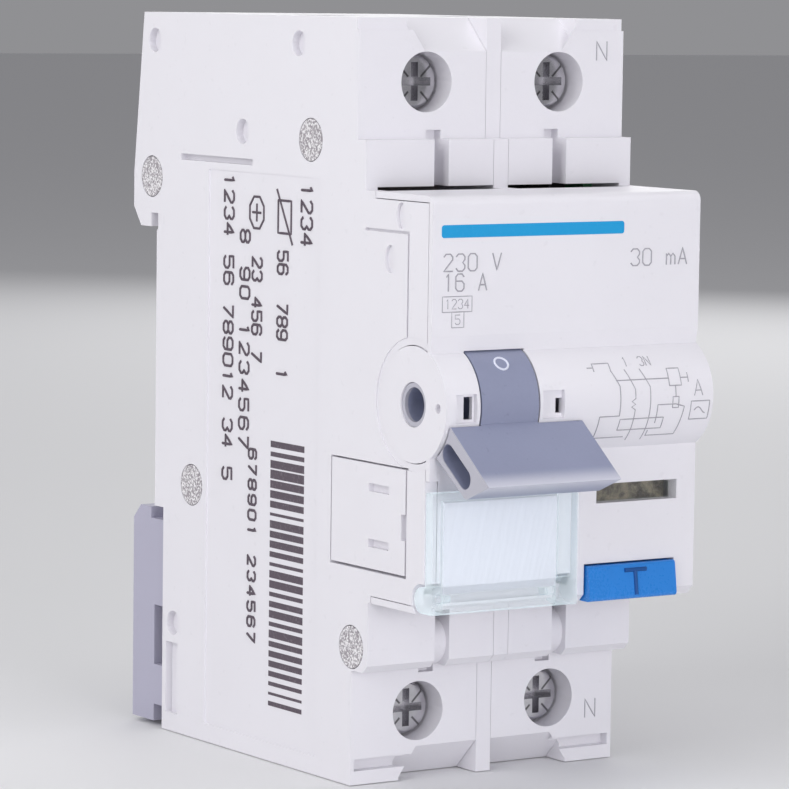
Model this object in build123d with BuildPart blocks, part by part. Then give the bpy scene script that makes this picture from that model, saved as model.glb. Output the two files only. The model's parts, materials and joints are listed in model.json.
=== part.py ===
"""Two-module residual current device with overcurrent release, one switched pole and neutral.

Frame, in millimetres: +X across the width, +Z up, and -Y out of the front. The origin is on the face
that rests on the mounting rail, at the middle of the width and height. Side sketches are drawn in
(depth, z), where depth is the distance forward of the rail face.
"""

import os
from math import asin, copysign, cos, degrees, radians, sin, sqrt

from build123d import *

os.makedirs("parts", exist_ok=True)

# ---- Outer sizes ----
module_width = 17.5
body_height = 83.0
terminal_depth = 42.4  # rail face to the faces with the terminal screws
band_depth = 44.1  # rail face to the stepped band above the nose
low_band_depth = 45.5  # the band below the nose stands farther forward
low_band_bevel = 0.8
band_share = 0.29  # part of the height above the nose that the upper band takes
low_band_share = 0.38
nose_step = 1.9  # from the upper band to the back edge of the front cover
nose_depth = 57.0
nose_height = 44.2
nose_z = 1.05  # the nose is centred a little above the middle
wall = 1.5
partition_thickness = 2.0
fit_gap = 0.1  # between mouldings that seat in each other
slide_gap = 0.2  # between plastic pieces that move past each other
turn_gap = 0.06  # radial gap of a shaft in its bearing

half_width = module_width
half_partition = partition_thickness / 2
pole_x = module_width / 2
top = body_height / 2
nose_top = nose_z + nose_height / 2
nose_bottom = nose_z - nose_height / 2
inner_x = half_width - wall
band_top = nose_top + band_share * (top - nose_top)
band_bottom = nose_bottom - low_band_share * (top + nose_bottom)
cover_back = band_depth + nose_step

# ---- Mounting rail and clip ----
rail_thickness = 1.0
rail_height = 35.0
rail_z = 0.6
rail_play = 0.3
hook_reach = 5.3  # back of the hook behind the rail face
hook_top_reach = 3.2
hook_overlap = 1.3
clip_overlap = 1.0
clip_travel = 4.5
clip_recess = 2.0  # back of the casing below the rail, forward of the rail face
clip_wall = 1.4
clip_block = 4.0  # solid top of the clip, above its guides
guide_reach = 3.2
rail_top = rail_z + rail_height / 2
rail_bottom = rail_z - rail_height / 2
hook_tip = rail_top - hook_overlap
clip_top = rail_bottom + clip_overlap

# ---- Terminals ----
terminal_inset = 6.9  # screw axis below the top of the body, and 0.6 more at the bottom
terminal_inset_low = 7.5
screw_bore_radius = 3.28
screw_head_radius = 2.9
screw_head_length = 2.5
screw_head_sink = 2.4
screw_radius = 2.5
screw_pitch = 0.8
screw_seat = 1.1  # ledge the screw head rests on
bore_wall = 1.1
cage_width = 10.0
cage_wall = 1.3
cage_height = 7.4
cage_end = 1.8
wire_gap = 6.9
funnel_drop = 3.7  # lead-in cut in the front edge of the top and bottom faces
groove_height = 1.3  # shallow steps along the front edges beside the funnels
groove_lip = 1.5
groove_sink = 1.2
groove_end = 9.6
busbar_thickness = 1.4
busbar_width = 6.8
entry_width = 7.6
screw_reach = 10.0  # thread below the seat of the screw head
cage_run = 1.6  # from the front of the busbar to the open cage's front wall
clamp_turns = 6.5
terminal_top = top - terminal_inset
terminal_low = -top + terminal_inset_low
head_seat = terminal_depth - screw_head_sink - screw_head_length
plate_front = head_seat - screw_reach - 0.1
plate_back = plate_front - busbar_thickness
cage_travel = clamp_turns * screw_pitch

# ---- Toggle ----
barrel_depth = 53.7  # turning axis of the toggle, forward of the rail face
barrel_radius = 6.3
barrel_wall = 1.2
barrel_cap_radius = 6.2
barrel_ring_radius = 7.1  # shallow step round the cap, in the left casing
dimple_offset = 4.7
dimple_radius = 0.5
toggle_travel = 72.0
drum_left = -13.0
drum_right = -5.7
lever_left = -17.0
lever_right = 0.0
lever_tip = 15.2
lever_under_tip = 12.9
lever_half = 2.1
coupling_radius = 1.85
coupling_depth = 5.0
hub_radius = 2.35
pivot_radius = 1.4

# ---- Contacts ----
contact_gap_turn = 18.0  # turn of the contact arms from open to closed
arm_length = 16.0
arm_width = 3.4
arm_thickness = 1.6
carrier_depth = 19.35
carrier_z = -4.0
carrier_radius = 2.6
link_pin_reach = 12.0
tip_thickness = 1.2
tip_height = 4.0
closed_gap = 0.15  # left between the closed contact tips
link_thickness = 1.2
pin_radius = 0.8
link_x = -1.8  # face of the link towards the partition
ear_thickness = 1.7
fixed_strip_depth = 14.6
carrier_half_turn = radians(contact_gap_turn / 2)
link_pin_u = -link_pin_reach * sin(carrier_half_turn)
link_pin_v = link_pin_reach * cos(carrier_half_turn)
carrier_pin = (carrier_depth - link_pin_u, carrier_z + link_pin_v)
crank_half_turn = radians(toggle_travel / 2)
crank_radius = -link_pin_u / sin(crank_half_turn)
crank_offset = (crank_radius * sin(crank_half_turn), crank_radius * cos(crank_half_turn))
crank_pin = (barrel_depth + crank_offset[0], nose_z + crank_offset[1])
trip_depth = 36.0
trip_z = -2.5
trip_arm = 6.0  # from the trip bar to the plungers that lift it
trip_stroke = 1.5
coil_depth = trip_depth - trip_arm
relay_size = 12.6
relay_front = coil_depth + relay_size / 2
coil_low = -24.0
coil_high = -10.0
lead_radius = 0.8
lead_depth = 13.0
lead_high = -14.0
lead_low = -28.2

# ---- Front ----
shelf_z = 8.45  # lower edge of the upper front face, above the barrel
cover_left = -17.4
cover_right = 1.4
cover_top = -8.0
cover_bottom = -20.9
cover_sheet = 1.0
recess_floor = 56.2
cover_hinge_depth = 55.7
cover_hinge_z = -19.5
ear_width = 2.1
ear_radius = 1.4
knuckle_radius = 0.85  # front cover's lip under the label cover's hinge pins
button_left = 2.9
button_right = 14.6
button_top = -17.0
button_travel = 1.6
window_left = 4.2
window_right = 15.0
window_top = -8.2
window_bottom = -10.3
button_back = 54.0
button_low = -20.85
stem_radius = 1.0
rib_depth = 51.5
cover_proud = 0.6
button_x = (button_left + button_right) / 2
stem_z = button_top - stem_radius
hinge_sweep = 2.4  # farthest corner of the label cover's lower bar from its hinge
rim_depth = 56.2  # front edge of the casing's side plates in the nose
cap_sheet = 0.8
cover_wall = 1.9  # top and bottom walls of the front cover
hinge_block = 3.6  # front cover's solid block behind the label cover's hinge

# ---- Outer details; the cover, panel and marks lie on the left side, at (depth, z) ----
slot_width = 1.9  # accessory slots across the bands
hatch_back = 37.9
hatch_front = 52.8
hatch_low = -17.6
hatch_high = -5.8
hatch_sheet = 1.2
mark_radius = 1.4
mark_depth = 0.9
mark_places = [(-0.7, top - 3.2), (30.4, top - 3.0), (18.8, top - 13.0), (4.4, 12.7 - top)]
panel_back = 11.6
panel_front = 35.2
panel_low = 2.1 - top
panel_high = 24.0
seam_depth = 52.6  # front end of the moulded seam beside the nose
seam_z = 19.2
seam_width = 0.3

# ---- Rivets through the casing, at (depth, z) ----
rivet_radius = 1.4
rivet_head_radius = 2.3
rivet_head_length = 0.8
rivet_places = [
    (33.0, top - 13.4),
    (-1.2, rail_top + 4.5),
    (8.3, rail_bottom + 4.6),
    (low_band_depth - 3.2, nose_bottom - 5.25),
]


def side(x):
    """Sketch plane square to X, drawn in (depth, z); a positive extrude goes to smaller x."""
    return Plane(origin=(x, 0, 0), x_dir=(0, -1, 0), z_dir=(-1, 0, 0))


def side_at(x, depth, z, turn=0.0):
    """The same plane with its origin at (depth, z) and its first axis turned up by `turn` degrees."""
    angle = radians(turn)
    return Plane(origin=(x, -depth, z), x_dir=(0, -cos(angle), sin(angle)), z_dir=(-1, 0, 0))


def front(depth):
    """Sketch plane square to Y, drawn in (x, z); a positive extrude goes forward."""
    return Plane.XZ.offset(depth)


def span(low_u, high_u, low_v, high_v, mode=Mode.ADD):
    """Rectangle between two corners, inside a sketch."""
    with Locations(((low_u + high_u) / 2, (low_v + high_v) / 2)):
        Rectangle(high_u - low_u, high_v - low_v, mode=mode)


def write(part, name):
    """Label a finished piece and write its STEP file."""
    part.label = name
    export_step(part, f"parts/{name}.step")


def mirror_x(part):
    """The same piece in the other module."""
    return part.mirror(Plane.YZ)


def mirror_if(part, sign):
    return mirror_x(part) if sign > 0 else part


# ---- Profiles shared by several mouldings ----
def body_profile(sketch_plane):
    """Side outline of the casing: rail hook, rail seat, terminal faces, bands and nose plate."""
    slot_back = -(rail_thickness + rail_play)
    seat_top = hook_tip - rail_play
    seat_bottom = clip_top + rail_play
    with BuildSketch(sketch_plane) as profile:
        with BuildLine():
            Polyline(
                (-hook_top_reach, top),
                (-hook_reach, hook_tip + 6.2),
                (-hook_reach, hook_tip + 2.2),
                (-hook_reach + 1.7, hook_tip),
                (slot_back, hook_tip),
                (slot_back, rail_top + rail_play),
                (rail_play, rail_top + rail_play),
                (rail_play, seat_top),
                (0, seat_top),
                (0, seat_bottom),
                (clip_recess, seat_bottom),
                (clip_recess, -top),
                (terminal_depth, -top),
                (terminal_depth, band_bottom),
                (low_band_depth - low_band_bevel, band_bottom),
                (low_band_depth, band_bottom + low_band_bevel),
                (low_band_depth, nose_bottom),
                (cover_back, nose_bottom),
                (cover_back, nose_bottom + cap_sheet),
                (rim_depth, nose_bottom + cap_sheet),
                (rim_depth, nose_top - cap_sheet),
                (cover_back, nose_top - cap_sheet),
                (cover_back, nose_top),
                (band_depth, nose_top),
                (band_depth, band_top),
                (terminal_depth, band_top),
                (terminal_depth, top),
                close=True,
            )
        make_face()
    return profile.sketch


def nose_profile(sketch_plane):
    """Side outline of the front cover: top face, shelf, barrel bulge and lower front."""
    reach = nose_depth - barrel_depth
    low_corner = nose_z - sqrt(barrel_radius**2 - reach**2)
    shelf_drop = 5.55
    shelf_edge = barrel_depth + sqrt(barrel_radius**2 - shelf_drop**2)
    back = cover_back + fit_gap
    round_off = 1.0
    with BuildSketch(sketch_plane) as profile:
        with BuildLine():
            Polyline(
                (nose_depth, low_corner),
                (nose_depth, nose_bottom + round_off),
                (nose_depth - round_off, nose_bottom),
                (back, nose_bottom),
                (back, nose_top),
                (nose_depth - round_off, nose_top),
            )
            RadiusArc(
                (nose_depth - round_off, nose_top), (nose_depth, nose_top - round_off), round_off
            )
            Polyline(
                (nose_depth, nose_top - round_off),
                (nose_depth, shelf_z),
                (shelf_edge, nose_z + shelf_drop),
            )
            ThreePointArc(
                (shelf_edge, nose_z + shelf_drop),
                (barrel_depth + barrel_radius, nose_z),
                (nose_depth, low_corner),
            )
        make_face()
    return profile.sketch


# ---- Casing shells ----
def terminal_bores(sketch_plane, radius):
    """The circles of one module's two terminal screws, seen from the front."""
    with BuildSketch(sketch_plane) as circles:
        with Locations((-pole_x, terminal_top), (-pole_x, terminal_low)):
            Circle(radius)
    return circles.sketch


def entry_funnel(sign_z):
    """45 degree lead-in cut in the front edge of the left module's top or bottom face."""
    edge = top * sign_z
    drop = funnel_drop * sign_z
    with BuildPart() as funnel:
        with BuildSketch(side(-half_partition)):
            with BuildLine():
                Polyline(
                    (terminal_depth + 0.1, edge - drop),
                    (terminal_depth + 0.1, edge + 0.1 * sign_z),
                    (terminal_depth - funnel_drop - 0.1, edge + 0.1 * sign_z),
                    close=True,
                )
            make_face()
        extrude(amount=10.2)
        split(
            bisect_by=Plane(
                origin=(-half_partition - 7.9, -terminal_depth, edge - drop),
                z_dir=(1, 0.9, 0.68 * sign_z),
            ),
            keep=Keep.TOP,
        )
    return funnel.part


def casing_shell():
    """Hollow half of the casing for the left module, open towards the partition."""
    inside_front = terminal_depth - wall
    with BuildPart() as shell:
        extrude(body_profile(side(-half_partition)), amount=half_width - half_partition)
        with BuildSketch(side(-half_partition)):
            span(clip_recess + wall, inside_front, -top + wall, top - wall)
            span(inside_front - 1, band_depth + 8, nose_bottom - 0.3, nose_top + 0.3)
            span(inside_front - 1, nose_depth, nose_bottom - 0.1, nose_top + 0.1)
        extrude(amount=inner_x - half_partition, mode=Mode.SUBTRACT)
        # solid corners behind the funnels
        corner = funnel_drop + sqrt(2) * wall
        for edge in (top, -top):
            with BuildSketch(side(-half_partition)):
                with BuildLine():
                    Polyline(
                        (terminal_depth, edge),
                        (terminal_depth - corner, edge),
                        (terminal_depth, edge - copysign(corner, edge)),
                        close=True,
                    )
                make_face()
            extrude(amount=half_width - half_partition)
        # tubes that guide the screwdriver and hold the screw heads
        tubes = terminal_bores(front(head_seat - screw_seat), screw_bore_radius + bore_wall)
        extrude(tubes, amount=inside_front + 1.0 - head_seat + screw_seat)
        bores = terminal_bores(front(terminal_depth), screw_bore_radius)
        extrude(bores, amount=head_seat - terminal_depth, mode=Mode.SUBTRACT)
        necks = terminal_bores(front(head_seat + screw_seat), screw_radius + slide_gap)
        extrude(necks, amount=-3 * screw_seat, mode=Mode.SUBTRACT)
        # wire entries through the top and bottom walls
        for edge, deeper in ((top, -1), (-top, 1)):
            with BuildSketch(Plane.XY.offset(edge)):
                with Locations((-pole_x, -(plate_back - wire_gap / 2))):
                    RectangleRounded(entry_width, wire_gap, 1.2)
            extrude(amount=2 * wall * deeper, mode=Mode.SUBTRACT)
        add(entry_funnel(1), mode=Mode.SUBTRACT)
        add(entry_funnel(-1), mode=Mode.SUBTRACT)
        # groove along the lower front edge and a shallow step along the upper one
        with BuildSketch(front(terminal_depth)):
            span(-half_width + 0.5, -groove_end, -top + groove_lip, -top + groove_lip + groove_height)
        extrude(amount=-groove_sink, mode=Mode.SUBTRACT)
        with BuildSketch(front(terminal_depth)):
            span(-half_width, -groove_end, top - groove_height, top)
        extrude(amount=-groove_sink / 3, mode=Mode.SUBTRACT)
        # accessory slots across the bands
        with BuildSketch(front(band_depth)):
            span(-pole_x, slot_width - pole_x, nose_top, band_top + slot_width / 2)
            span(-pole_x, slot_width - pole_x, band_bottom - slot_width / 2, nose_bottom)
        extrude(amount=terminal_depth - band_depth - 1.2, mode=Mode.SUBTRACT)
        with BuildSketch(front(low_band_depth)):
            span(-pole_x, slot_width - pole_x, band_bottom, nose_bottom)
        extrude(amount=band_depth - low_band_depth, mode=Mode.SUBTRACT)
        # round seats of the toggle's barrel in the nose plate
        with BuildSketch(side(-inner_x + 1)):
            with Locations((barrel_depth, nose_z)):
                Circle(barrel_cap_radius + fit_gap)
            span(barrel_depth, nose_depth + 2, nose_z - 5.0, nose_z + 5.0)
        extrude(amount=wall + 2, mode=Mode.SUBTRACT)
        # bearings of the contact carrier and the trip bar
        for place in ((carrier_depth, carrier_z), (trip_depth, trip_z)):
            with BuildSketch(side(-inner_x + 1.4)):
                with Locations(place):
                    Circle(pivot_radius + 1.4)
                    Circle(pivot_radius + turn_gap, mode=Mode.SUBTRACT)
            extrude(amount=1.9)
        # rivet holes with a countersunk seat for the heads
        with BuildSketch(side(-half_partition)):
            with Locations(rivet_places):
                Circle(rivet_radius + 1.2)
        extrude(amount=half_width - half_partition)
        with BuildSketch(side(-half_partition)):
            with Locations(rivet_places):
                Circle(rivet_radius + fit_gap)
        extrude(amount=half_width, mode=Mode.SUBTRACT)
        with BuildSketch(side(-half_width)):
            with Locations(rivet_places):
                Circle(rivet_head_radius + fit_gap)
        extrude(amount=-rivet_head_length - fit_gap, mode=Mode.SUBTRACT)
        # guide of the rail clip on the back
        with BuildSketch(Plane.XY.offset(-top)):
            span(-13.6, -10.6, -clip_recess - 0.5, guide_reach)
        extrude(amount=clip_top - clip_block - clip_travel - rail_play + top)
    return shell.part


with BuildPart() as left_casing:
    add(casing_shell())
    # raised frame and pocket for the accessory cover
    with BuildSketch(side(-inner_x + 1.0)):
        span(hatch_back - 1, hatch_front + 1, hatch_low - 1, hatch_high + 0.4)
    extrude(amount=1.5)
    with BuildSketch(side(-half_width)):
        span(hatch_back, hatch_front, hatch_low, hatch_high)
    extrude(amount=-hatch_sheet, mode=Mode.SUBTRACT)
    with BuildSketch(side(-half_width)):
        span(hatch_back + 2.6, hatch_front - 2.6, hatch_low + 2.2, hatch_high - 2.2)
    extrude(amount=-2 * wall, mode=Mode.SUBTRACT)
    # shallow rating panel, moulding marks and seams on the outer face
    with BuildSketch(side(-half_width)):
        span(panel_back, panel_front, panel_low, panel_high)
    extrude(amount=-0.15, mode=Mode.SUBTRACT)
    with BuildSketch(side(-half_width)):
        span(clip_recess + 0.8, clip_recess + 3.5, panel_low, panel_low + 8.3)
        span(5.3, 21.0, panel_high + 0.8, panel_high + 1.5)
        with Locations(mark_places):
            Circle(mark_radius)
    extrude(amount=-mark_depth, mode=Mode.SUBTRACT)
    with BuildSketch(side(-half_width)):
        span(band_depth, seam_depth, seam_z - seam_width, seam_z)
        span(seam_depth - seam_width, seam_depth, nose_z + barrel_radius + 0.7, seam_z)
        with Locations((51.0, 20.8)):
            Ellipse(0.9, 1.4)
        with Locations((49.0, 16.1)):
            Ellipse(1.0, 1.5)
    extrude(amount=-0.4, mode=Mode.SUBTRACT)
    with BuildSketch(side(-half_width)):
        with Locations((barrel_depth, nose_z)):
            Circle(barrel_ring_radius)
    extrude(amount=-0.15, mode=Mode.SUBTRACT)
    # room for the left ear of the label cover
    with BuildSketch(side(-inner_x + 0.1)):
        with Locations((cover_hinge_depth, cover_hinge_z)):
            Circle(ear_radius + 0.35)
        span(cover_hinge_depth, nose_depth, nose_bottom, cover_hinge_z + ear_radius + 0.35)
    extrude(amount=wall + 0.2, mode=Mode.SUBTRACT)
write(left_casing.part, "left_casing")

with BuildPart() as right_casing:
    add(mirror_x(casing_shell()))
write(right_casing.part, "right_casing")

with BuildPart() as centre_partition:
    extrude(body_profile(side(half_partition - fit_gap / 2)), amount=partition_thickness - fit_gap)
    with BuildSketch(side(half_partition)):
        span(nose_depth - wall - 0.2, nose_depth, nose_bottom, nose_top)
        span(cover_back, nose_depth, nose_top - cover_wall - fit_gap, nose_top)
        span(cover_back, nose_depth, nose_bottom, nose_bottom + cover_wall + fit_gap)
        span(
            cover_hinge_depth - hinge_block - fit_gap,
            nose_depth,
            nose_bottom,
            cover_hinge_z + hinge_sweep + slide_gap,
        )
    extrude(amount=partition_thickness, mode=Mode.SUBTRACT)
    with BuildSketch(side(half_partition - fit_gap / 2)):
        with Locations((barrel_depth, nose_z)):
            Circle(barrel_radius - barrel_wall - slide_gap)
    extrude(amount=partition_thickness - fit_gap)
    with BuildSketch(side(half_partition)):
        with Locations((carrier_depth, carrier_z), (trip_depth, trip_z), (barrel_depth, nose_z)):
            Circle(pivot_radius + turn_gap)
        with Locations(rivet_places):
            Circle(rivet_radius + fit_gap)
        with Locations((lead_depth, lead_high), (lead_depth, lead_low)):
            Circle(lead_radius + 0.3)
    extrude(amount=partition_thickness, mode=Mode.SUBTRACT)
write(centre_partition.part, "centre_partition")

# ---- Front cover, the moulding with the barrel bulge ----
with BuildPart() as front_cover:
    extrude(nose_profile(side(half_width)), amount=2 * half_width)
    with BuildSketch(side(inner_x - fit_gap)):
        span(band_depth, nose_depth - wall, nose_bottom + cover_wall, nose_top - cover_wall)
        with Locations((barrel_depth, nose_z)):
            Circle(barrel_radius - barrel_wall)
    extrude(amount=2 * (inner_x - fit_gap), mode=Mode.SUBTRACT)
    # the ends stand outside the side plates, but for the barrel's round caps
    for end in (half_width, -inner_x + fit_gap):
        with BuildSketch(side(end)):
            span(
                band_depth,
                rim_depth + fit_gap,
                nose_bottom + cap_sheet - fit_gap,
                nose_top - cap_sheet + fit_gap,
            )
            with Locations((barrel_depth, nose_z)):
                Circle(barrel_cap_radius, mode=Mode.SUBTRACT)
        extrude(amount=wall + fit_gap, mode=Mode.SUBTRACT)
    # opening for the toggle's drum, its bearing and the lock recesses beside it
    with BuildSketch(side(drum_right + slide_gap)):
        with Locations((barrel_depth, nose_z)):
            Circle(barrel_radius + slide_gap)
    extrude(amount=drum_right - drum_left + 2 * slide_gap, mode=Mode.SUBTRACT)
    with BuildSketch(side(-inner_x + fit_gap)):
        with Locations((barrel_depth, nose_z)):
            Circle(hub_radius + turn_gap)
    extrude(amount=2 * wall, mode=Mode.SUBTRACT)
    with BuildSketch(front(barrel_depth + barrel_radius + 0.1)):
        span(drum_left - 3.2, drum_left - 0.6, nose_z - 1.5, nose_z + 1.5)
        span(drum_right + 0.6, drum_right + 3.4, nose_z - 1.5, nose_z + 1.5)
    extrude(amount=-0.8, mode=Mode.SUBTRACT)
    with BuildSketch(front(barrel_depth + barrel_radius)):
        span(drum_left - 1.9, drum_left - 0.8, nose_z - 1.2, nose_z + 1.2)
        span(drum_right + 2.6, drum_right + 3.4, nose_z - 1.0, nose_z + 0.6)
    extrude(amount=-barrel_wall - 0.8, mode=Mode.SUBTRACT)
    # centring dimple in the round cap of the barrel
    with BuildSketch(side(-half_width)):
        with Locations((barrel_depth + dimple_offset, nose_z)):
            Circle(dimple_radius)
    extrude(amount=-0.6, mode=Mode.SUBTRACT)
    # backing block and sockets for the label cover's hinge
    with BuildSketch(side(cover_right - ear_width - 0.3)):
        span(
            cover_hinge_depth - hinge_block,
            nose_depth - wall,
            nose_bottom,
            cover_hinge_z + hinge_sweep,
        )
    extrude(amount=cover_right - cover_left - 2 * ear_width - 0.6)
    with BuildSketch(front(nose_depth + 0.1)):
        span(-half_width - 0.1, cover_right + slide_gap, nose_bottom - 0.1, cover_top + 1.2)
    extrude(amount=recess_floor - nose_depth - 0.1, mode=Mode.SUBTRACT)
    for ear_end in (cover_left + ear_width + slide_gap, cover_right + slide_gap):
        with BuildSketch(side(ear_end)):
            with Locations((cover_hinge_depth, cover_hinge_z)):
                Circle(ear_radius + 0.35)
            span(
                cover_hinge_depth,
                nose_depth,
                nose_bottom - 0.1,
                cover_hinge_z + ear_radius + 0.35,
            )
        extrude(amount=ear_width + 2 * slide_gap, mode=Mode.SUBTRACT)
    with BuildSketch(side(cover_right)):
        with Locations((cover_hinge_depth, cover_hinge_z)):
            Circle(hinge_sweep + 0.2)
            Circle(knuckle_radius, mode=Mode.SUBTRACT)
        span(
            cover_hinge_depth - 4, cover_hinge_depth + 4, cover_hinge_z, cover_hinge_z + 4, Mode.SUBTRACT
        )
    extrude(amount=cover_right - cover_left, mode=Mode.SUBTRACT)
    with BuildSketch(side(cover_right)):
        with Locations((cover_hinge_depth, cover_hinge_z)):
            Circle(pin_radius - 0.2 + turn_gap)
    extrude(amount=cover_right - cover_left, mode=Mode.SUBTRACT)
    # fault window and test button
    with BuildSketch(front(nose_depth + 0.1)):
        span(window_left, window_right, window_bottom, window_top)
        span(
            button_left - slide_gap,
            button_right + slide_gap,
            nose_bottom - 0.1,
            button_top + slide_gap,
        )
    extrude(amount=-wall - 0.2, mode=Mode.SUBTRACT)
    with BuildSketch(Plane.XY.offset(nose_bottom - 0.1)):
        span(
            button_left - slide_gap,
            button_right + slide_gap,
            -nose_depth,
            -rib_depth - fit_gap,
        )
    extrude(amount=2.5, mode=Mode.SUBTRACT)
    with BuildSketch(front(rib_depth)):
        span(button_left - 1, inner_x - fit_gap, nose_bottom + 1.5, button_top + 1.5)
        with Locations((button_x, stem_z)):
            Circle(stem_radius + 0.12, mode=Mode.SUBTRACT)
    extrude(amount=-1.2)
write(front_cover.part, "front_cover")

with BuildPart() as accessory_cover:
    with BuildSketch(side(-half_width + hatch_sheet - fit_gap)):
        span(hatch_back + 0.2, hatch_front - 0.3, hatch_low + 0.3, hatch_high - 0.2)
    extrude(amount=hatch_sheet - fit_gap)
    with BuildSketch(side(-inner_x + 1.0)):
        span(hatch_back + 2.7, hatch_front - 2.7, hatch_low + 2.3, hatch_high - 2.3)
        span(hatch_back + 3.7, hatch_front - 3.7, hatch_low + 3.3, hatch_high - 3.3, Mode.SUBTRACT)
    extrude(amount=1.0 + wall - hatch_sheet + 0.1)
    with BuildSketch(side(-half_width)):
        span(45.4, 49.4, -9.0, -8.1)
        span(45.4, 49.4, -15.0, -14.1)
        span(hatch_front - 1.1, hatch_front, -13.6, -10.8)
    extrude(amount=-0.7, mode=Mode.SUBTRACT)
write(accessory_cover.part, "accessory_cover")

# ---- Label cover and card ----
with BuildPart() as label_cover:
    with BuildSketch(front(nose_depth + cover_proud)):
        span(cover_left, cover_right, cover_bottom, cover_top)
    extrude(amount=-cover_sheet)
    with BuildSketch(front(nose_depth + cover_proud - cover_sheet)):
        span(cover_left, cover_right, cover_hinge_z + ear_radius, cover_top)
        span(cover_left + 1.9, cover_right - 1.9, cover_hinge_z, cover_top - 1.0, Mode.SUBTRACT)
    extrude(amount=recess_floor + fit_gap - nose_depth - cover_proud + cover_sheet)
    for ear_end in (cover_left + ear_width, cover_right):
        with BuildSketch(side(ear_end)):
            with Locations((cover_hinge_depth, cover_hinge_z)):
                Circle(ear_radius)
            span(
                cover_hinge_depth,
                nose_depth + cover_proud - 0.1,
                cover_bottom,
                cover_hinge_z + ear_radius,
            )
        extrude(amount=ear_width)
    for pin_start in (cover_left + ear_width + 1.2, cover_right - ear_width):
        with BuildSketch(side(pin_start)):
            with Locations((cover_hinge_depth, cover_hinge_z)):
                Circle(pin_radius - 0.2)
        extrude(amount=1.2)
write(label_cover.part, "label_cover")

with BuildPart() as label_card:
    with BuildSketch(front(recess_floor + fit_gap)):
        span(cover_left + 2.1, cover_right - 2.1, cover_hinge_z + 0.6, cover_top - 1.2)
    extrude(amount=0.3)
write(label_card.part, "label_card")

with BuildPart() as indicator_lens:
    with BuildSketch(front(nose_depth - wall - fit_gap)):
        span(window_left - 0.8, inner_x - 0.2, window_bottom - 0.8, window_top + 0.8)
    extrude(amount=-0.8)
    with BuildSketch(front(nose_depth - wall - fit_gap)):
        span(window_left + 0.1, window_right - 0.1, window_bottom + 0.1, window_top - 0.1)
    extrude(amount=wall - 0.1)
write(indicator_lens.part, "indicator_lens")

with BuildPart() as fault_indicator:
    with BuildSketch(front(nose_depth - wall - fit_gap - 1.1)):
        span(window_left - 0.4, window_right + 0.3, window_bottom - 2.6, window_top + 0.4)
    extrude(amount=-0.8)
    with BuildSketch(front(nose_depth - wall - fit_gap - 1.9)):
        span(window_left + 3.5, window_left + 6.5, window_bottom - 2.6, window_bottom)
    extrude(amount=-3.0)
write(fault_indicator.part, "fault_indicator")

with BuildPart() as test_button:
    with BuildSketch(side(button_right)):
        with BuildLine():
            Polyline(
                (button_back, button_low),
                (nose_depth + 1.0, button_low),
                (nose_depth + 0.5, button_top),
                (button_back, button_top),
                close=True,
            )
        make_face()
    extrude(amount=button_right - button_left)
    fillet(test_button.edges().filter_by(Axis.X).sort_by(Axis.Y)[:2], 0.4)
    with BuildSketch(front(button_back)):
        with Locations((button_x, stem_z)):
            Circle(stem_radius)
    extrude(amount=rib_depth - button_back - 1.4)
write(test_button.part, "test_button")


def coil_spring(plane, radius, wire, turns, length):
    """Round-wire compression spring that starts at the plane's origin."""
    path = Helix(pitch=(length - 2 * wire) / turns, height=length - 2 * wire, radius=radius)
    with BuildPart() as spring:
        with BuildLine():
            add(path)
        with BuildSketch(Plane(origin=path @ 0, z_dir=path % 0)):
            Circle(wire)
        sweep()
    return spring.part.moved(plane.location)


spring_room = button_back - rib_depth
spring_place = Plane.XZ.offset(rib_depth + 0.35)
spring_place.origin += Vector(button_x, 0, stem_z)
with BuildPart() as test_button_spring:
    add(coil_spring(spring_place, stem_radius + 0.55, 0.25, 2.5, spring_room - 0.2))
write(test_button_spring.part, "test_button_spring")

# ---- Toggle with its spring and link ----
lever_down = -toggle_travel / 2


def lever_profile(sketch_plane):
    """Side outline of the toggle's handle, drawn along the handle from the turning axis."""
    with BuildSketch(sketch_plane) as profile:
        with BuildLine():
            Polyline(
                (1.0, -lever_half),
                (lever_under_tip, -lever_half + 0.2),
                (lever_tip, lever_half - 0.2),
                (1.0, lever_half + 0.2),
                close=True,
            )
        make_face()
        fillet(profile.vertices().sort_by(Axis.Y)[:2], 0.5)
    return profile.sketch


with BuildPart() as toggle:
    with BuildSketch(side_at(lever_right, barrel_depth, nose_z, lever_down)):
        add(lever_profile(Plane.XY))
        Circle(barrel_radius + slide_gap, mode=Mode.SUBTRACT)
    extrude(amount=lever_right - lever_left)
    with BuildSketch(side_at(drum_right, barrel_depth, nose_z, lever_down)):
        Circle(barrel_radius)
        add(lever_profile(Plane.XY))
    extrude(amount=drum_right - drum_left)
    with BuildSketch(side_at(drum_left, barrel_depth, nose_z, 0)):
        Circle(hub_radius)
    extrude(amount=half_width - slide_gap + drum_left)
    with BuildSketch(side_at(-half_partition + 0.7, barrel_depth, nose_z, 0)):
        Circle(pivot_radius)
    extrude(amount=-half_partition + 0.7 - drum_right)
    with BuildSketch(side_at(-half_width + slide_gap, barrel_depth, nose_z, 0)):
        Circle(coupling_radius)
    extrude(amount=-coupling_depth, mode=Mode.SUBTRACT)
    with BuildSketch(side_at(lever_left, barrel_depth, nose_z, lever_down)):
        with Locations((9.5, -0.3)):
            SlotOverall(6.0, 2.2)
    extrude(amount=-4.0, mode=Mode.SUBTRACT)
    with BuildSketch(side_at(drum_right, barrel_depth, nose_z, 0)):
        with Locations(crank_offset):
            Circle(pin_radius + turn_gap)
    extrude(amount=2.2, mode=Mode.SUBTRACT)
write(toggle.part, "toggle")

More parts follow.
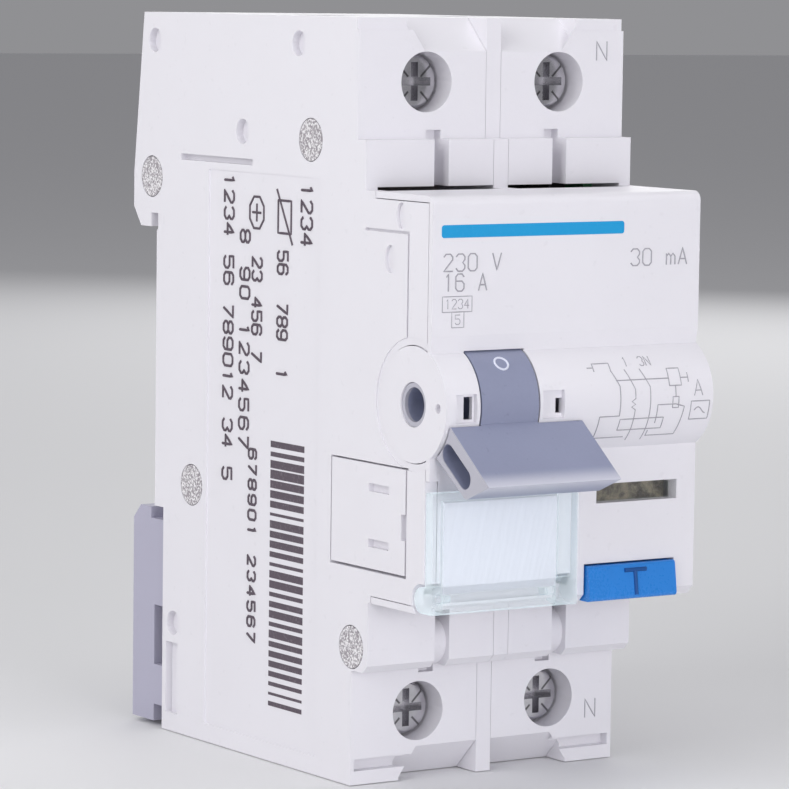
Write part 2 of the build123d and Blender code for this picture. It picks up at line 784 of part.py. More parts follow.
with BuildPart() as toggle_spring:
    with BuildSketch(side_at(drum_right + 2.2, barrel_depth, nose_z, 0)):
        Circle(pivot_radius + 0.7)
        Circle(pivot_radius + 0.15, mode=Mode.SUBTRACT)
    extrude(amount=1.9)
    with BuildSketch(side_at(drum_right + 0.8, barrel_depth, nose_z, 0)):
        span(-6.5, 0, -pivot_radius - 0.7, -pivot_radius - 0.2)
    extrude(amount=0.5)
write(toggle_spring.part, "toggle_spring")

with BuildPart() as toggle_link:
    with BuildSketch(side(link_x)):
        with Locations(crank_pin, carrier_pin):
            Circle(1.5)
        run = Vector(*crank_pin) - Vector(*carrier_pin)
        with Locations(Location(((crank_pin[0] + carrier_pin[0]) / 2, (crank_pin[1] + carrier_pin[1]) / 2))):
            Rectangle(run.length, 2.2, rotation=degrees(asin(run.Y / run.length)))
    extrude(amount=link_thickness)
    with BuildSketch(side(link_x - link_thickness)):
        with Locations(crank_pin):
            Circle(pin_radius)
    extrude(amount=link_x - link_thickness - drum_right + 1.9)
    with BuildSketch(side(link_x - link_thickness)):
        with Locations(carrier_pin):
            Circle(pin_radius)
    extrude(amount=ear_thickness + 0.4)
write(toggle_link.part, "toggle_link")

# ---- Contact carrier, arms and tips; drawn in the open position ----
contact_turn = -contact_gap_turn


def at_carrier(x):
    return side_at(x, carrier_depth, carrier_z, contact_turn)


arm_low = 1.2
arm_right = -pole_x + arm_width / 2
ear_right = link_x - link_thickness - slide_gap


def contact_arm():
    with BuildPart() as arm:
        with BuildSketch(at_carrier(arm_right)):
            span(-arm_thickness / 2, arm_thickness / 2, arm_low, arm_length + tip_height / 2)
        extrude(amount=arm_width)
    return arm.part


def moving_tip():
    with BuildPart() as tip:
        with BuildSketch(at_carrier(arm_right)):
            span(
                -arm_thickness / 2 - tip_thickness,
                -arm_thickness / 2,
                arm_length - tip_height / 2,
                arm_length + tip_height / 2,
            )
        extrude(amount=arm_width)
    return tip.part


with BuildPart() as contact_carrier:
    with BuildSketch(at_carrier(inner_x - slide_gap)):
        Circle(pivot_radius)
    extrude(amount=2 * (inner_x - slide_gap))
    for hub_right in (11.8, ear_right):
        with BuildSketch(at_carrier(hub_right)):
            Circle(carrier_radius)
        extrude(amount=11.8 + ear_right)
    with BuildSketch(at_carrier(ear_right)):
        with Locations((link_pin_u, link_pin_v)):
            Circle(2.3)
        with BuildLine():
            Polyline(
                (-carrier_radius + 0.3, 0),
                (carrier_radius - 0.3, 0),
                (link_pin_u + 2.2, link_pin_v),
                (link_pin_u - 2.2, link_pin_v),
                close=True,
            )
        make_face()
        with Locations(Location((link_pin_u, link_pin_v), 90)):
            SlotOverall(2 * pin_radius + 1.7, 2 * pin_radius + 0.3, mode=Mode.SUBTRACT)
    extrude(amount=ear_thickness)
    add(contact_arm(), mode=Mode.SUBTRACT)
    add(mirror_x(contact_arm()), mode=Mode.SUBTRACT)
write(contact_carrier.part, "contact_carrier")
write(contact_arm(), "phase_contact_arm")
write(mirror_x(contact_arm()), "neutral_contact_arm")
write(moving_tip(), "phase_contact_tip")
write(mirror_x(moving_tip()), "neutral_contact_tip")


# ---- Terminals ----
def terminal_busbar(z_low, z_high):
    """Flat copper tongue of one terminal of the left module, between two heights."""
    with BuildPart() as busbar:
        with BuildSketch(front(plate_front)):
            span(-pole_x - busbar_width / 2, -pole_x + busbar_width / 2, z_low, z_high)
        extrude(amount=-busbar_thickness)
    return busbar.part


def line_terminal():
    """Upper terminal tongue with the strip that carries the fixed contact."""
    bend_z = terminal_top - 10.0
    with BuildPart() as strip:
        with BuildSketch(side(-pole_x + busbar_width / 2)):
            span(plate_back, plate_front, bend_z, top - wall - fit_gap)
            span(fixed_strip_depth, plate_front, bend_z - busbar_thickness, bend_z)
            span(
                fixed_strip_depth,
                fixed_strip_depth + busbar_thickness,
                carrier_z + arm_length - 3.0,
                bend_z,
            )
        extrude(amount=busbar_width)
    return strip.part


def fixed_tip():
    fixed_front = carrier_depth - arm_thickness / 2 - tip_thickness - closed_gap
    with BuildPart() as tip:
        with BuildSketch(front(fixed_front)):
            with Locations((-pole_x, carrier_z + arm_length)):
                Rectangle(4.0, tip_height)
        extrude(amount=fixed_strip_depth + busbar_thickness - fixed_front)
    return tip.part


def terminal_screw(z):
    """Screw of the left module's terminal at height z, head forward, with its cross recess."""
    with BuildPart() as screw:
        with BuildSketch(front(head_seat + screw_head_length)):
            with Locations((-pole_x, z)):
                Circle(screw_head_radius)
        extrude(amount=-screw_head_length)
        chamfer(screw.edges().sort_by(Axis.Y)[0], 0.3)
        with BuildSketch(front(head_seat)):
            with Locations((-pole_x, z)):
                Circle(screw_radius)
        extrude(amount=-screw_reach)
        with BuildSketch(front(head_seat + screw_head_length)):
            with Locations((-pole_x, z)):
                Rectangle(4.2, 0.9)
                Rectangle(0.9, 4.2)
        extrude(amount=-1.7, mode=Mode.SUBTRACT)
    return screw.part


def wire_cage(z):
    """Ring that the screw draws forward, in its open position, with the wire space behind."""
    back = plate_back - wire_gap - cage_end
    ahead = plate_front + cage_run + cage_end
    with BuildPart() as cage:
        with BuildSketch(Plane.XY.offset(z - cage_height / 2)):
            span(-pole_x - cage_width / 2, -pole_x + cage_width / 2, -ahead, -back)
            span(
                -pole_x - cage_width / 2 + cage_wall,
                -pole_x + cage_width / 2 - cage_wall,
                -ahead + cage_end,
                -back - cage_end,
                Mode.SUBTRACT,
            )
        extrude(amount=cage_height)
        with BuildSketch(front(ahead)):
            with Locations((-pole_x, z)):
                Circle(screw_radius + turn_gap)
        extrude(amount=-cage_end - 0.5, mode=Mode.SUBTRACT)
    return cage.part


load_busbar = terminal_busbar(-top + wall + fit_gap, lead_low + 1.2)
for name, sign in (("phase", -1), ("neutral", 1)):
    write(mirror_if(line_terminal(), sign), f"line_{name}_terminal")
    write(mirror_if(load_busbar, sign), f"load_{name}_terminal")
    for end, z in (("line", terminal_top), ("load", terminal_low)):
        write(mirror_if(terminal_screw(z), sign), f"{end}_{name}_screw")
        write(mirror_if(wire_cage(z), sign), f"{end}_{name}_cage")

with BuildPart() as fixed_contact_tips:
    add(fixed_tip())
    add(mirror_x(fixed_tip()))
write(fixed_contact_tips.part, "fixed_contact_tips")

# ---- Arc chute: steel plates with a notch, between two fibre sides ----
chute_back = clip_recess + wall + 0.3
chute_front = 13.5
chute_low = -9.0
chute_pitch = 1.9
chute_plates = 9
chute_left = -14.4
chute_right = -3.2
chute_side = 0.7
with BuildPart() as arc_plates:
    for step in range(chute_plates):
        with BuildSketch(Plane.XY.offset(chute_low + 0.6 + step * chute_pitch)):
            span(chute_left, chute_right, -chute_front, -chute_back - 0.4)
            with Locations(((chute_left + chute_right) / 2, -chute_front)):
                Rectangle(2.4, 7.0, mode=Mode.SUBTRACT)
        extrude(amount=0.8)
write(arc_plates.part, "arc_plates")

with BuildPart() as arc_chute_sides:
    for edge in (chute_left, chute_right + chute_side):
        with BuildSketch(side(edge)):
            span(
                chute_back,
                chute_front - 0.5,
                chute_low,
                chute_low + chute_plates * chute_pitch + 0.2,
            )
        extrude(amount=chute_side)
write(arc_chute_sides.part, "arc_chute_sides")

# ---- Magnetic release: coil on a bobbin, yoke and plunger ----
coil_middle = (-pole_x, -coil_depth)
plunger_radius = 1.3
with BuildPart() as coil_bobbin:
    with BuildSketch(Plane.XY.offset(coil_low + 1.5)):
        with Locations(coil_middle):
            Circle(2.4)
            Circle(plunger_radius + turn_gap, mode=Mode.SUBTRACT)
    extrude(amount=coil_high - coil_low - 3.0)
    for z in (coil_low + 1.5, coil_high - 2.5):
        with BuildSketch(Plane.XY.offset(z)):
            with Locations(coil_middle):
                Circle(5.0)
                Circle(plunger_radius + turn_gap, mode=Mode.SUBTRACT)
        extrude(amount=1.0)
write(coil_bobbin.part, "coil_bobbin")

coil_wire = 0.65
coil_turns = 6
coil_room = coil_high - coil_low - 5.0 - 2 * coil_wire - 0.4
with BuildPart() as trip_coil:
    add(
        coil_spring(
            Plane(origin=(-pole_x, -coil_depth, coil_low + 2.7 + coil_wire)),
            3.4,
            coil_wire,
            coil_turns,
            coil_room + 2 * coil_wire,
        )
    )
write(trip_coil.part, "trip_coil")

with BuildPart() as coil_yoke:
    with BuildSketch(side(-pole_x + 3.0)):
        span(coil_depth - 6.9, coil_depth + 5.2, coil_low, coil_high)
        span(coil_depth - 5.4, coil_depth + 5.3, coil_low + 1.5, coil_high - 1.5, Mode.SUBTRACT)
    extrude(amount=6.0)
    with BuildSketch(Plane.XY.offset(coil_high)):
        with Locations(coil_middle):
            Circle(plunger_radius + 0.25)
    extrude(amount=-1.6, mode=Mode.SUBTRACT)
write(coil_yoke.part, "coil_yoke")

finger_low = trip_z - 2.0
finger_thickness = 1.4
with BuildPart() as trip_plunger:
    with BuildSketch(Plane.XY.offset(finger_low - 0.3)):
        with Locations(coil_middle):
            Circle(plunger_radius)
    extrude(amount=coil_low + 5.0 - finger_low + 0.3)
write(trip_plunger.part, "trip_plunger")

# ---- Trip bar through both modules, with a finger for each release ----
with BuildPart() as trip_bar:
    with BuildSketch(side(inner_x - slide_gap)):
        with Locations((trip_depth, trip_z)):
            Circle(pivot_radius)
    extrude(amount=2 * (inner_x - slide_gap))
    for hub_right in (12.0, -6.0):
        with BuildSketch(side(hub_right)):
            with Locations((trip_depth, trip_z)):
                Circle(2.1)
        extrude(amount=6.0)
        with BuildSketch(side(hub_right - 1.2)):
            span(coil_depth - 1.6, trip_depth, finger_low, finger_low + finger_thickness)
        extrude(amount=3.2)
    with BuildSketch(side(-10.6)):
        span(trip_depth - 0.7, trip_depth + 0.7, coil_high + 0.8, trip_z)
    extrude(amount=1.4)
write(trip_bar.part, "trip_bar")

bimetal_depth = trip_depth + 2.4
with BuildPart() as bimetal_strip:
    with BuildSketch(side(-9.2)):
        span(bimetal_depth, bimetal_depth + 0.8, coil_low - 1.0, -7.0)
        span(coil_depth + 6.0, bimetal_depth, coil_low - 1.0, coil_low + 0.6)
    extrude(amount=4.2)
write(bimetal_strip.part, "bimetal_strip")

# ---- Residual current parts: relay, current transformer, board ----
relay_low = -25.5
relay_high = -11.0
relay_stroke = 1.2
with BuildPart() as trip_relay:
    with BuildSketch(Plane.XY.offset(relay_low)):
        with Locations(((inner_x + half_partition) / 2, -coil_depth)):
            RectangleRounded(inner_x - half_partition - 5 * fit_gap, relay_size, 0.8)
    extrude(amount=relay_high - relay_low)
    with BuildSketch(Plane.XY.offset(relay_high)):
        with Locations((pole_x, -coil_depth)):
            Circle(plunger_radius + turn_gap)
    extrude(amount=-8.0, mode=Mode.SUBTRACT)
write(trip_relay.part, "trip_relay")

with BuildPart() as relay_plunger:
    with BuildSketch(Plane.XY.offset(finger_low - relay_stroke - 0.3)):
        with Locations((pole_x, -coil_depth)):
            Circle(plunger_radius)
    extrude(amount=relay_high - 7.0 - finger_low + relay_stroke + 0.3)
write(relay_plunger.part, "relay_plunger")

ring_x = 8.25
ring_high = -17.0
ring_low = -25.0
ring_outer = 5.8
ring_inner = 3.7
with BuildPart() as transformer_core:
    with BuildSketch(Plane.XY.offset(ring_low + 0.9)):
        with Locations((ring_x, -lead_depth)):
            Circle(ring_outer)
            Circle(ring_inner, mode=Mode.SUBTRACT)
    extrude(amount=ring_high - ring_low - 1.8)
write(transformer_core.part, "transformer_core")

winding_turns = 20
winding_wire = 0.5
with BuildPart() as one_turn:
    with BuildSketch(Plane(origin=(ring_x, -lead_depth, 0), x_dir=(1, 0, 0), z_dir=(0, -1, 0))):
        span(ring_inner - 0.6, ring_outer + 0.6, ring_low + 0.3, ring_high - 0.3)
        span(ring_inner - 0.1, ring_outer + 0.1, ring_low + 0.8, ring_high - 0.8, Mode.SUBTRACT)
    extrude(amount=winding_wire / 2, both=True)
with BuildPart() as transformer_winding:
    for turn in range(winding_turns):
        add(one_turn.part.rotate(Axis((ring_x, -lead_depth, 0), (0, 0, 1)), 360 / winding_turns * turn))
write(transformer_winding.part, "transformer_winding")

board_x = inner_x - 1.9
board_back = 18.0
board_front = 40.0
board_low = 9.0
board_high = 25.3
with BuildPart() as circuit_board:
    with BuildSketch(side(board_x + 1.2)):
        span(board_back, board_front, board_low, board_high)
        with Locations((board_back + 2, board_high - 2), (board_front - 2, board_low + 2)):
            Circle(0.8, mode=Mode.SUBTRACT)
    extrude(amount=1.2)
write(circuit_board.part, "circuit_board")

with BuildPart() as board_components:
    with BuildSketch(Plane.XY.offset(board_low + 2)):
        with Locations((board_x - 1.5, -board_back - 8.0), (board_x - 1.5, -board_back - 12.2)):
            Circle(1.5)
    extrude(amount=8.0)
    with BuildSketch(side(board_x)):
        span(board_front - 8.0, board_front - 3.2, board_low + 5.0, board_low + 12.0)
        with Locations((board_front - 5.5, board_high - 2.3)):
            Rectangle(4.0, 2.4)
    extrude(amount=2.2)
    with BuildSketch(side(board_x)):
        with Locations((board_back + 10.0, board_high - 3.4)):
            Circle(2.4)
    extrude(amount=1.6)
write(board_components.part, "board_components")

leaf_front = rib_depth - 1.4 - button_travel - 0.3
with BuildPart() as test_contact:
    with BuildSketch(side(button_x + 1.5)):
        span(leaf_front - 0.5, leaf_front, nose_bottom + 2.2, -8.0)
        span(relay_front + 2.0, leaf_front, nose_bottom + 2.2, nose_bottom + 2.8)
    extrude(amount=3.0)
write(test_contact.part, "test_contact")


# ---- Insulated leads through the transformer ----
def lead(route, bend):
    """Round lead along straight runs joined by arcs, starting square to its first run."""
    with BuildPart() as wire:
        with BuildLine() as path:
            FilletPolyline(*route, radius=bend)
        with BuildSketch(Plane(origin=path.line @ 0, z_dir=path.line % 0)):
            Circle(lead_radius)
        sweep()
    return wire.part


write(
    lead(
        [
            (-pole_x, -coil_depth + 6.9 + fit_gap, lead_high),
            (-pole_x, -lead_depth, lead_high),
            (ring_x - 1.2, -lead_depth, lead_high),
            (ring_x - 1.2, -lead_depth, lead_low),
            (-pole_x, -lead_depth, lead_low),
            (-pole_x, -plate_back + fit_gap, lead_low),
        ],
        2.4,
    ),
    "phase_lead",
)
write(
    lead(
        [
            (ring_x + 1.3, -carrier_depth + carrier_radius + 0.3, carrier_z - 1.6),
            (ring_x + 1.3, -lead_depth, carrier_z - 3.0),
            (ring_x + 1.3, -lead_depth, lead_low),
            (ring_x + 1.3, -plate_back + fit_gap, lead_low),
        ],
        2.0,
    ),
    "neutral_lead",
)

# ---- Rivets and rail clip ----
with BuildPart() as casing_rivets:
    for start, length, radius in (
        (half_width, 2 * half_width, rivet_radius),
        (half_width, rivet_head_length, rivet_head_radius),
        (-half_width + rivet_head_length, rivet_head_length, rivet_head_radius),
    ):
        with BuildSketch(side(start)):
            with Locations(rivet_places):
                Circle(radius)
        extrude(amount=length)
write(casing_rivets.part, "casing_rivets")

clip_low = -top + 0.5
clip_half = half_width - 0.3
clip_front = -clip_recess + slide_gap
with BuildPart() as rail_clip:
    with BuildSketch(side(clip_half)):
        with BuildLine():
            Polyline(
                (-clip_front, clip_low),
                (-hook_reach, clip_low),
                (-hook_reach, clip_top - 1.6),
                (-hook_reach + 1.6, clip_top),
                (-rail_thickness - rail_play, clip_top),
                (-rail_thickness - rail_play, rail_bottom - rail_play),
                (-clip_front, rail_bottom - rail_play),
                close=True,
            )
        make_face()
    extrude(amount=2 * clip_half)
    with BuildSketch(Plane.XY.offset(clip_low - 1)):
        span(-clip_half + clip_wall, clip_half - clip_wall, clip_front - 1, hook_reach - clip_wall)
    extrude(amount=clip_top - clip_block - clip_low + 1, mode=Mode.SUBTRACT)
    with BuildSketch(side(clip_half)):
        span(-0.4, clip_recess, -34.3, -27.3)
        span(-0.4, clip_recess, clip_low - 1, -39.0)
    extrude(amount=2 * clip_half, mode=Mode.SUBTRACT)
    # inner flanges beside the casing's guides
    with BuildSketch(Plane.XY.offset(clip_low)):
        span(-10.4, -9.2, clip_front + 0.6, hook_reach - clip_wall + 0.2)
        span(9.2, 10.4, clip_front + 0.6, hook_reach - clip_wall + 0.2)
    extrude(amount=clip_top - clip_block - clip_low)
write(rail_clip.part, "rail_clip")
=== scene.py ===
# %% [markdown]
# # A two-module residual current device
#
# The device snaps onto a mounting rail. Its white casing holds two poles side by side; the front
# carries a blue-grey toggle, a clear label flap, a fault window and a blue test button. The solid
# parts come from the construction model, so this file adds their finishes, the printing on the
# mouldings and the small surface details, and sets up the studio.

# %% Load the construction model
import json
import math

import bpy
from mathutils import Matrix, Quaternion, Vector
from mathutils.bvhtree import BVHTree


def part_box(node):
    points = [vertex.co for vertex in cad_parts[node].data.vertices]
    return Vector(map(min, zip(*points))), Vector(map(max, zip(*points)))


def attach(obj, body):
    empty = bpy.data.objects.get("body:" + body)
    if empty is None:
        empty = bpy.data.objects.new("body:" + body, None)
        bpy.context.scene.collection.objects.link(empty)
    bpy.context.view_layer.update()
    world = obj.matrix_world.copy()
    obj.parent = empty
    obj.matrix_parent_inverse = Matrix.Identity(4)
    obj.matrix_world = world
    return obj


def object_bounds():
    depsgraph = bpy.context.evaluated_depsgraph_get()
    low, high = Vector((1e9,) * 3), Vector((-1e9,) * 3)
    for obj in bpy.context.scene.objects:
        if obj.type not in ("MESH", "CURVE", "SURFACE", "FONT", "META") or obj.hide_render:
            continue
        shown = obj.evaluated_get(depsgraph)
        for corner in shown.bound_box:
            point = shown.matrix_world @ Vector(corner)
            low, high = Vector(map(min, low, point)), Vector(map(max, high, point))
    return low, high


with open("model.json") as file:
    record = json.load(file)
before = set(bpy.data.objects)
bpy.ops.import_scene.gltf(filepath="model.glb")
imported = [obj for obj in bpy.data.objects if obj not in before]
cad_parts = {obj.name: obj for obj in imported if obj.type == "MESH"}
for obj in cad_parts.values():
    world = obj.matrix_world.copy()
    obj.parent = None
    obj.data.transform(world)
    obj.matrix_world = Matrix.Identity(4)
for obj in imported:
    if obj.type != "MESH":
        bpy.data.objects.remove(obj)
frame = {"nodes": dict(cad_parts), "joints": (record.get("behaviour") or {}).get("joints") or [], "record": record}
nodes = frame["nodes"]
cad_low, cad_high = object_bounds()
MM = 0.001
joints = {joint["name"]: joint for joint in frame["joints"]}
drum_axis = Vector(joints["toggle_turn"]["pos_m"]) / MM
print("model box in mm:", [round(value / MM, 1) for value in (*cad_low, *cad_high)])

# %% [markdown]
# ## The studio
#
# A long lens from the left and a little above shows the phase side and the front together. The
# light is soft: a large panel on the left keeps the side bright and a weaker one fills the front.
# Panels above, behind and low in front light the other faces, one more puts a sheen along the left
# side, and a pale world lifts the shadows.

# %% Camera
LOOK_YAW, LOOK_DOWN, CAMERA_ROLL = (math.radians(turn) for turn in (33.519, 5.598, 0.776))
CAMERA_PLACE = (-260.155, -416.503, 44.886)
SENSOR_WIDTH, FOCAL_LENGTH = 36.0, 190.31
NEAREST, FARTHEST = 10, 10000
camera = bpy.data.objects.new("camera", bpy.data.cameras.new("camera"))
camera.data.sensor_width, camera.data.lens = SENSOR_WIDTH, FOCAL_LENGTH
look = Vector(
    (
        math.sin(LOOK_YAW) * math.cos(LOOK_DOWN),
        math.cos(LOOK_YAW) * math.cos(LOOK_DOWN),
        -math.sin(LOOK_DOWN),
    )
)
camera.location = Vector(CAMERA_PLACE) * MM
camera.rotation_mode = "QUATERNION"
camera.rotation_quaternion = look.to_track_quat("-Z", "Y") @ Quaternion((0, 0, 1), CAMERA_ROLL)
camera.data.clip_start, camera.data.clip_end = NEAREST * MM, FARTHEST * MM
bpy.context.scene.collection.objects.link(camera)
bpy.context.scene.camera = camera
bpy.context.scene.view_settings.view_transform = "Standard"
print("camera looks along", [round(value, 3) for value in look])


# %% Lights
def softbox(name, place, size, power, tint=(1, 1, 1)):
    """Square area light at a place in millimetres, aimed at the device."""
    light = bpy.data.lights.new(name, "AREA")
    light.size = size * MM
    light.energy = power
    light.color = tint
    lamp = bpy.data.objects.new(name, light)
    lamp.location = Vector(place) * MM
    lamp.rotation_mode = "QUATERNION"
    lamp.rotation_quaternion = (-lamp.location).to_track_quat("-Z", "Y")
    bpy.context.scene.collection.objects.link(lamp)
    return lamp


softbox("side_panel", (-520, -160, 260), 420, 1.75)
softbox("front_panel", (120, -600, 240), 400, 0.42, (0.97, 0.97, 1.0))
softbox("top_panel", (-40, -60, 600), 360, 0.9)
softbox("back_panel", (420, 420, 260), 420, 0.9)
softbox("low_panel", (-80, -520, 45), 160, 0.72, (0.98, 0.98, 1.0))
softbox("sheen_panel", (-420, 560, 20), 380, 0.6)
SKY_COLOUR, SKY_STRENGTH = (0.93, 0.93, 0.97, 1), 0.30
world = bpy.data.worlds.new("studio")
bpy.context.scene.world = world
world.use_nodes = True
sky = world.node_tree.nodes["Background"].inputs
sky["Color"].default_value, sky["Strength"].default_value = SKY_COLOUR, SKY_STRENGTH


# %% [markdown]
# ## A short way to write finishes
#
# A finish is a tree of shader nodes. Writing the trees as sums keeps them readable, so `Wire`
# wraps one output and turns sums, products and powers into Math nodes, and `Finish` adds every
# other node with one call.

# %% Wires and finishes
MIX_FACTOR, MIX_FIRST, MIX_SECOND, MIX_RESULT = 0, 6, 7, 2  # colour sockets of the Mix node


class Wire:
    """One shader value that can be used in sums."""

    def __init__(self, finish, socket):
        self.finish, self.socket = finish, socket

    def _math(self, operation, *values):
        return self.finish.node("Math", dict(operation=operation), dict(enumerate(values)))

    def __add__(self, other):
        return self._math("ADD", self, other)

    def __sub__(self, other):
        return self._math("SUBTRACT", self, other)

    def __rsub__(self, other):
        return self._math("SUBTRACT", other, self)

    def __mul__(self, other):
        return self._math("MULTIPLY", self, other)

    def __pow__(self, power):
        return self._math("POWER", self, power)

    def __abs__(self):
        return self._math("ABSOLUTE", self)

    __radd__, __rmul__ = __add__, __mul__

    def step(self, low, high):
        """0 below low, 1 above high, with a smooth ramp between."""
        shape = dict(interpolation_type="SMOOTHSTEP", clamp=True)
        return self.finish.node(
            "MapRange", shape, {"Value": self, "From Min": low, "From Max": high}
        )


class Finish:
    """A material under construction."""

    def __init__(self, name):
        self.material = bpy.data.materials.new(name)
        self.material.use_nodes = True
        self.tree = self.material.node_tree
        self.shader = self.tree.nodes["Principled BSDF"]
        self.place = self.node("TexCoord", {}, {}, "Object")

    @classmethod
    def reopen(cls, material):
        """Carry on with a finish that was made before."""
        again = cls.__new__(cls)
        again.material, again.tree = material, material.node_tree
        again.shader = again.tree.nodes["Principled BSDF"]
        again.place = again.node("TexCoord", {}, {}, "Object")
        return again

    def node(self, kind, settings, values, result=0):
        """Add a shader node: its settings first, then the values or wires of its sockets."""
        made = self.tree.nodes.new("ShaderNode" + kind)
        for key, setting in settings.items():
            setattr(made, key, setting)
        for key, value in values.items():
            self.join(made.inputs[key], value)
        return Wire(self, made.outputs[result])

    def join(self, socket, value):
        """Feed a socket from a wire, or set it to a plain value."""
        if isinstance(value, Wire):
            self.tree.links.new(value.socket, socket)
        else:
            socket.default_value = value

    def noise(self, size, detail=2.0, rough=0.5, place=None):
        """Soft noise between 0 and 1; size is that of one blotch in millimetres."""
        values = {"Scale": 1 / (size * MM), "Detail": detail, "Roughness": rough}
        return self.node("TexNoise", {}, {"Vector": place or self.place, **values})

    def axis(self, letter):
        """The place along one axis, in metres."""
        return self.node("SeparateXYZ", {}, {"Vector": self.place}, letter)

    def blend(self, amount, first, second):
        """Colour between two, by amount."""
        sockets = {MIX_FACTOR: amount, MIX_FIRST: first, MIX_SECOND: second}
        return self.node("Mix", dict(data_type="RGBA"), sockets, MIX_RESULT)

    def bump(self, height, depth, strength=1.0):
        """Normal from a height; depth is the relief in millimetres."""
        values = {"Height": height, "Distance": depth * MM, "Strength": strength}
        return self.node("Bump", {}, values)

    def surface(self, **sockets):
        """Set the shader's sockets by name, with _ for a space, and return the material."""
        for key, value in sockets.items():
            self.join(self.shader.inputs[key.replace("_", " ")], value)
        return self.material


def shade(colour, factor):
    """A colour made lighter or darker, as four numbers."""
    return (*(min(1.0, part * factor) for part in colour), 1)


print("shader helpers ready")

# %% [markdown]
# ## Moulded plastics
#
# Every visible moulding is thermoplastic from a fine-eroded tool. The skin has a faint grain a
# quarter of a millimetre across, a very slight cloudiness from the melt, and a satin sheen that
# varies a little. The casing, toggle and clip share this skin in other colours.


# %% Moulded skin
def moulded(name, colour, rough, grain=0.25, relief=0.012, cloud=0.03):
    """Satin plastic with tool grain, a slight cloudiness and fine specks."""
    skin = Finish(name)
    clouds = skin.noise(9.0, 3.0)
    grains = skin.noise(grain, 2.0, 0.6)
    fleck = skin.noise(0.9, 1.0).step(0.70, 0.78)
    tone = clouds * 0.7 + grains * 0.3
    body = skin.blend(tone, shade(colour, 1 - cloud), shade(colour, 1 + cloud))
    body = skin.blend(fleck * 0.35, body, shade(colour, 1 - 3 * cloud))
    return skin.surface(
        Base_Color=body,
        Roughness=rough + (clouds - 0.5) * 0.12 + (grains - 0.5) * 0.10,
        Normal=skin.bump(grains + skin.noise(3 * grain) * 0.5, relief, 0.6),
        IOR=1.49,
    )


# The toggle carries painted light: a paler end face stands in for a sheen, a paler lever end for a highlight.
END_FACE, END_BLUR = -16.9, 0.05  # where the toggle's end face lies along X
TIP_BEGINS, TIP_ENDS = 13.0, 15.4  # how far from the drum's axis the painted highlight towards the lever tip spreads


def toggle_skin(name, colour, end_sheen_colour, tip_highlight_colour):
    """Toggle plastic with a painted sheen on its end face and a painted highlight towards the end of the lever."""
    moulded(name, colour, 0.38, grain=0.35, relief=0.02, cloud=0.10)
    skin = Finish.reopen(bpy.data.materials[name])
    base = skin.shader.inputs["Base Color"]
    body = Wire(skin, base.links[0].from_socket)
    # painted sheen: the end face takes a paler colour where the side lamps would put a sheen
    end_sheen_mask = 1 - skin.axis("X").step((END_FACE - END_BLUR) * MM, (END_FACE + END_BLUR) * MM)
    ahead = skin.axis("Y") - drum_axis.y * MM
    rise = skin.axis("Z") - drum_axis.z * MM
    reach = (ahead * ahead + rise * rise) ** 0.5
    # painted highlight: the lever turns paler towards its outer end
    tip = reach.step(TIP_BEGINS * MM, TIP_ENDS * MM)
    pale = skin.blend(tip * 0.8, body, (*tip_highlight_colour, 1))
    skin.join(base, skin.blend(end_sheen_mask, pale, (*end_sheen_colour, 1)))
    return skin.material


casing_white = moulded("casing_white", (0.80, 0.785, 0.83), 0.42, relief=0.008)
# the last two colours are the painted sheen of the end face and the painted highlight of the lever
toggle_grey = toggle_skin("toggle_grey", (0.265, 0.285, 0.405), (0.47, 0.465, 0.53), (0.66, 0.66, 0.74))
clip_grey = moulded("clip_grey", (0.44, 0.43, 0.54), 0.48, cloud=0.04)
button_blue = moulded("button_blue", (0.022, 0.225, 0.69), 0.28, relief=0.004, cloud=0.05)
dark_frame = moulded("dark_frame", (0.05, 0.05, 0.055), 0.5)
bobbin_cream = moulded("bobbin_cream", (0.55, 0.52, 0.42), 0.5)
relay_blue = moulded("relay_blue", (0.03, 0.08, 0.24), 0.45)
component_black = moulded("component_black", (0.03, 0.03, 0.033), 0.4)
phase_sleeve = moulded("phase_sleeve", (0.10, 0.045, 0.02), 0.5)
neutral_sleeve = moulded("neutral_sleeve", (0.02, 0.08, 0.32), 0.5)
core_coating = moulded("core_coating", (0.07, 0.07, 0.075), 0.6, relief=0.03)
print("plastics:", len(bpy.data.materials))

# %% [markdown]
# ## Clear plastic
#
# The label flap and the window lens are clear polycarbonate. A thin clear sheet hides little where
# it faces the eye and turns pale and bright where the eye looks along it. True refraction would
# also stop the studio light and leave the card behind it black, so the sheet is a faint film
# instead: its opacity grows towards grazing angles, and a painted reflection, light emitted in its
# cold tint, brightens it there.


# %% Clear mouldings
def clear(name, tint, rough, haze, rim):
    """See-through plastic that emits a painted reflection towards grazing angles: haze is the opacity seen square
    on, and rim what edges add.
    """
    sheet = Finish(name)
    waves = sheet.noise(4.0, 2.0)
    wisps = sheet.noise(0.6, 3.0, 0.7).step(0.66, 0.75)
    edge_on = sheet.node("LayerWeight", {}, {"Blend": 0.35}, "Facing")
    # painted reflection: light emitted in the sheet's tint, brighter towards grazing angles
    painted_reflection = sheet.blend(edge_on, (0, 0, 0, 1), shade(tint, 1.0))
    return sheet.surface(
        Base_Color=sheet.blend(waves, shade(tint, 0.97), shade(tint, 1.0)),
        Roughness=rough + wisps * 0.08,
        Alpha=edge_on * rim + (haze + wisps * 0.05),
        Normal=sheet.bump(waves, 0.006, 0.4),
        Emission_Color=painted_reflection,
        Emission_Strength=0.34,
        IOR=1.55,
    )


flap_clear = clear("flap_clear", (0.84, 0.96, 1.0), 0.07, 0.07, 0.80)
lens_clear = clear("lens_clear", (0.85, 0.90, 0.88), 0.05, 0.02, 0.12)
print("clear plastics ready")

# %% [markdown]
# ## Metals
#
# The screws and cages are zinc-plated steel, whose plating is bright but mottled. Terminal tongues
# and arms are rolled copper alloy with a drawn grain. The rivet heads are left rough by the closing
# tool, so dull and bright dents lie side by side, and the screws have dark ticks in their heads.


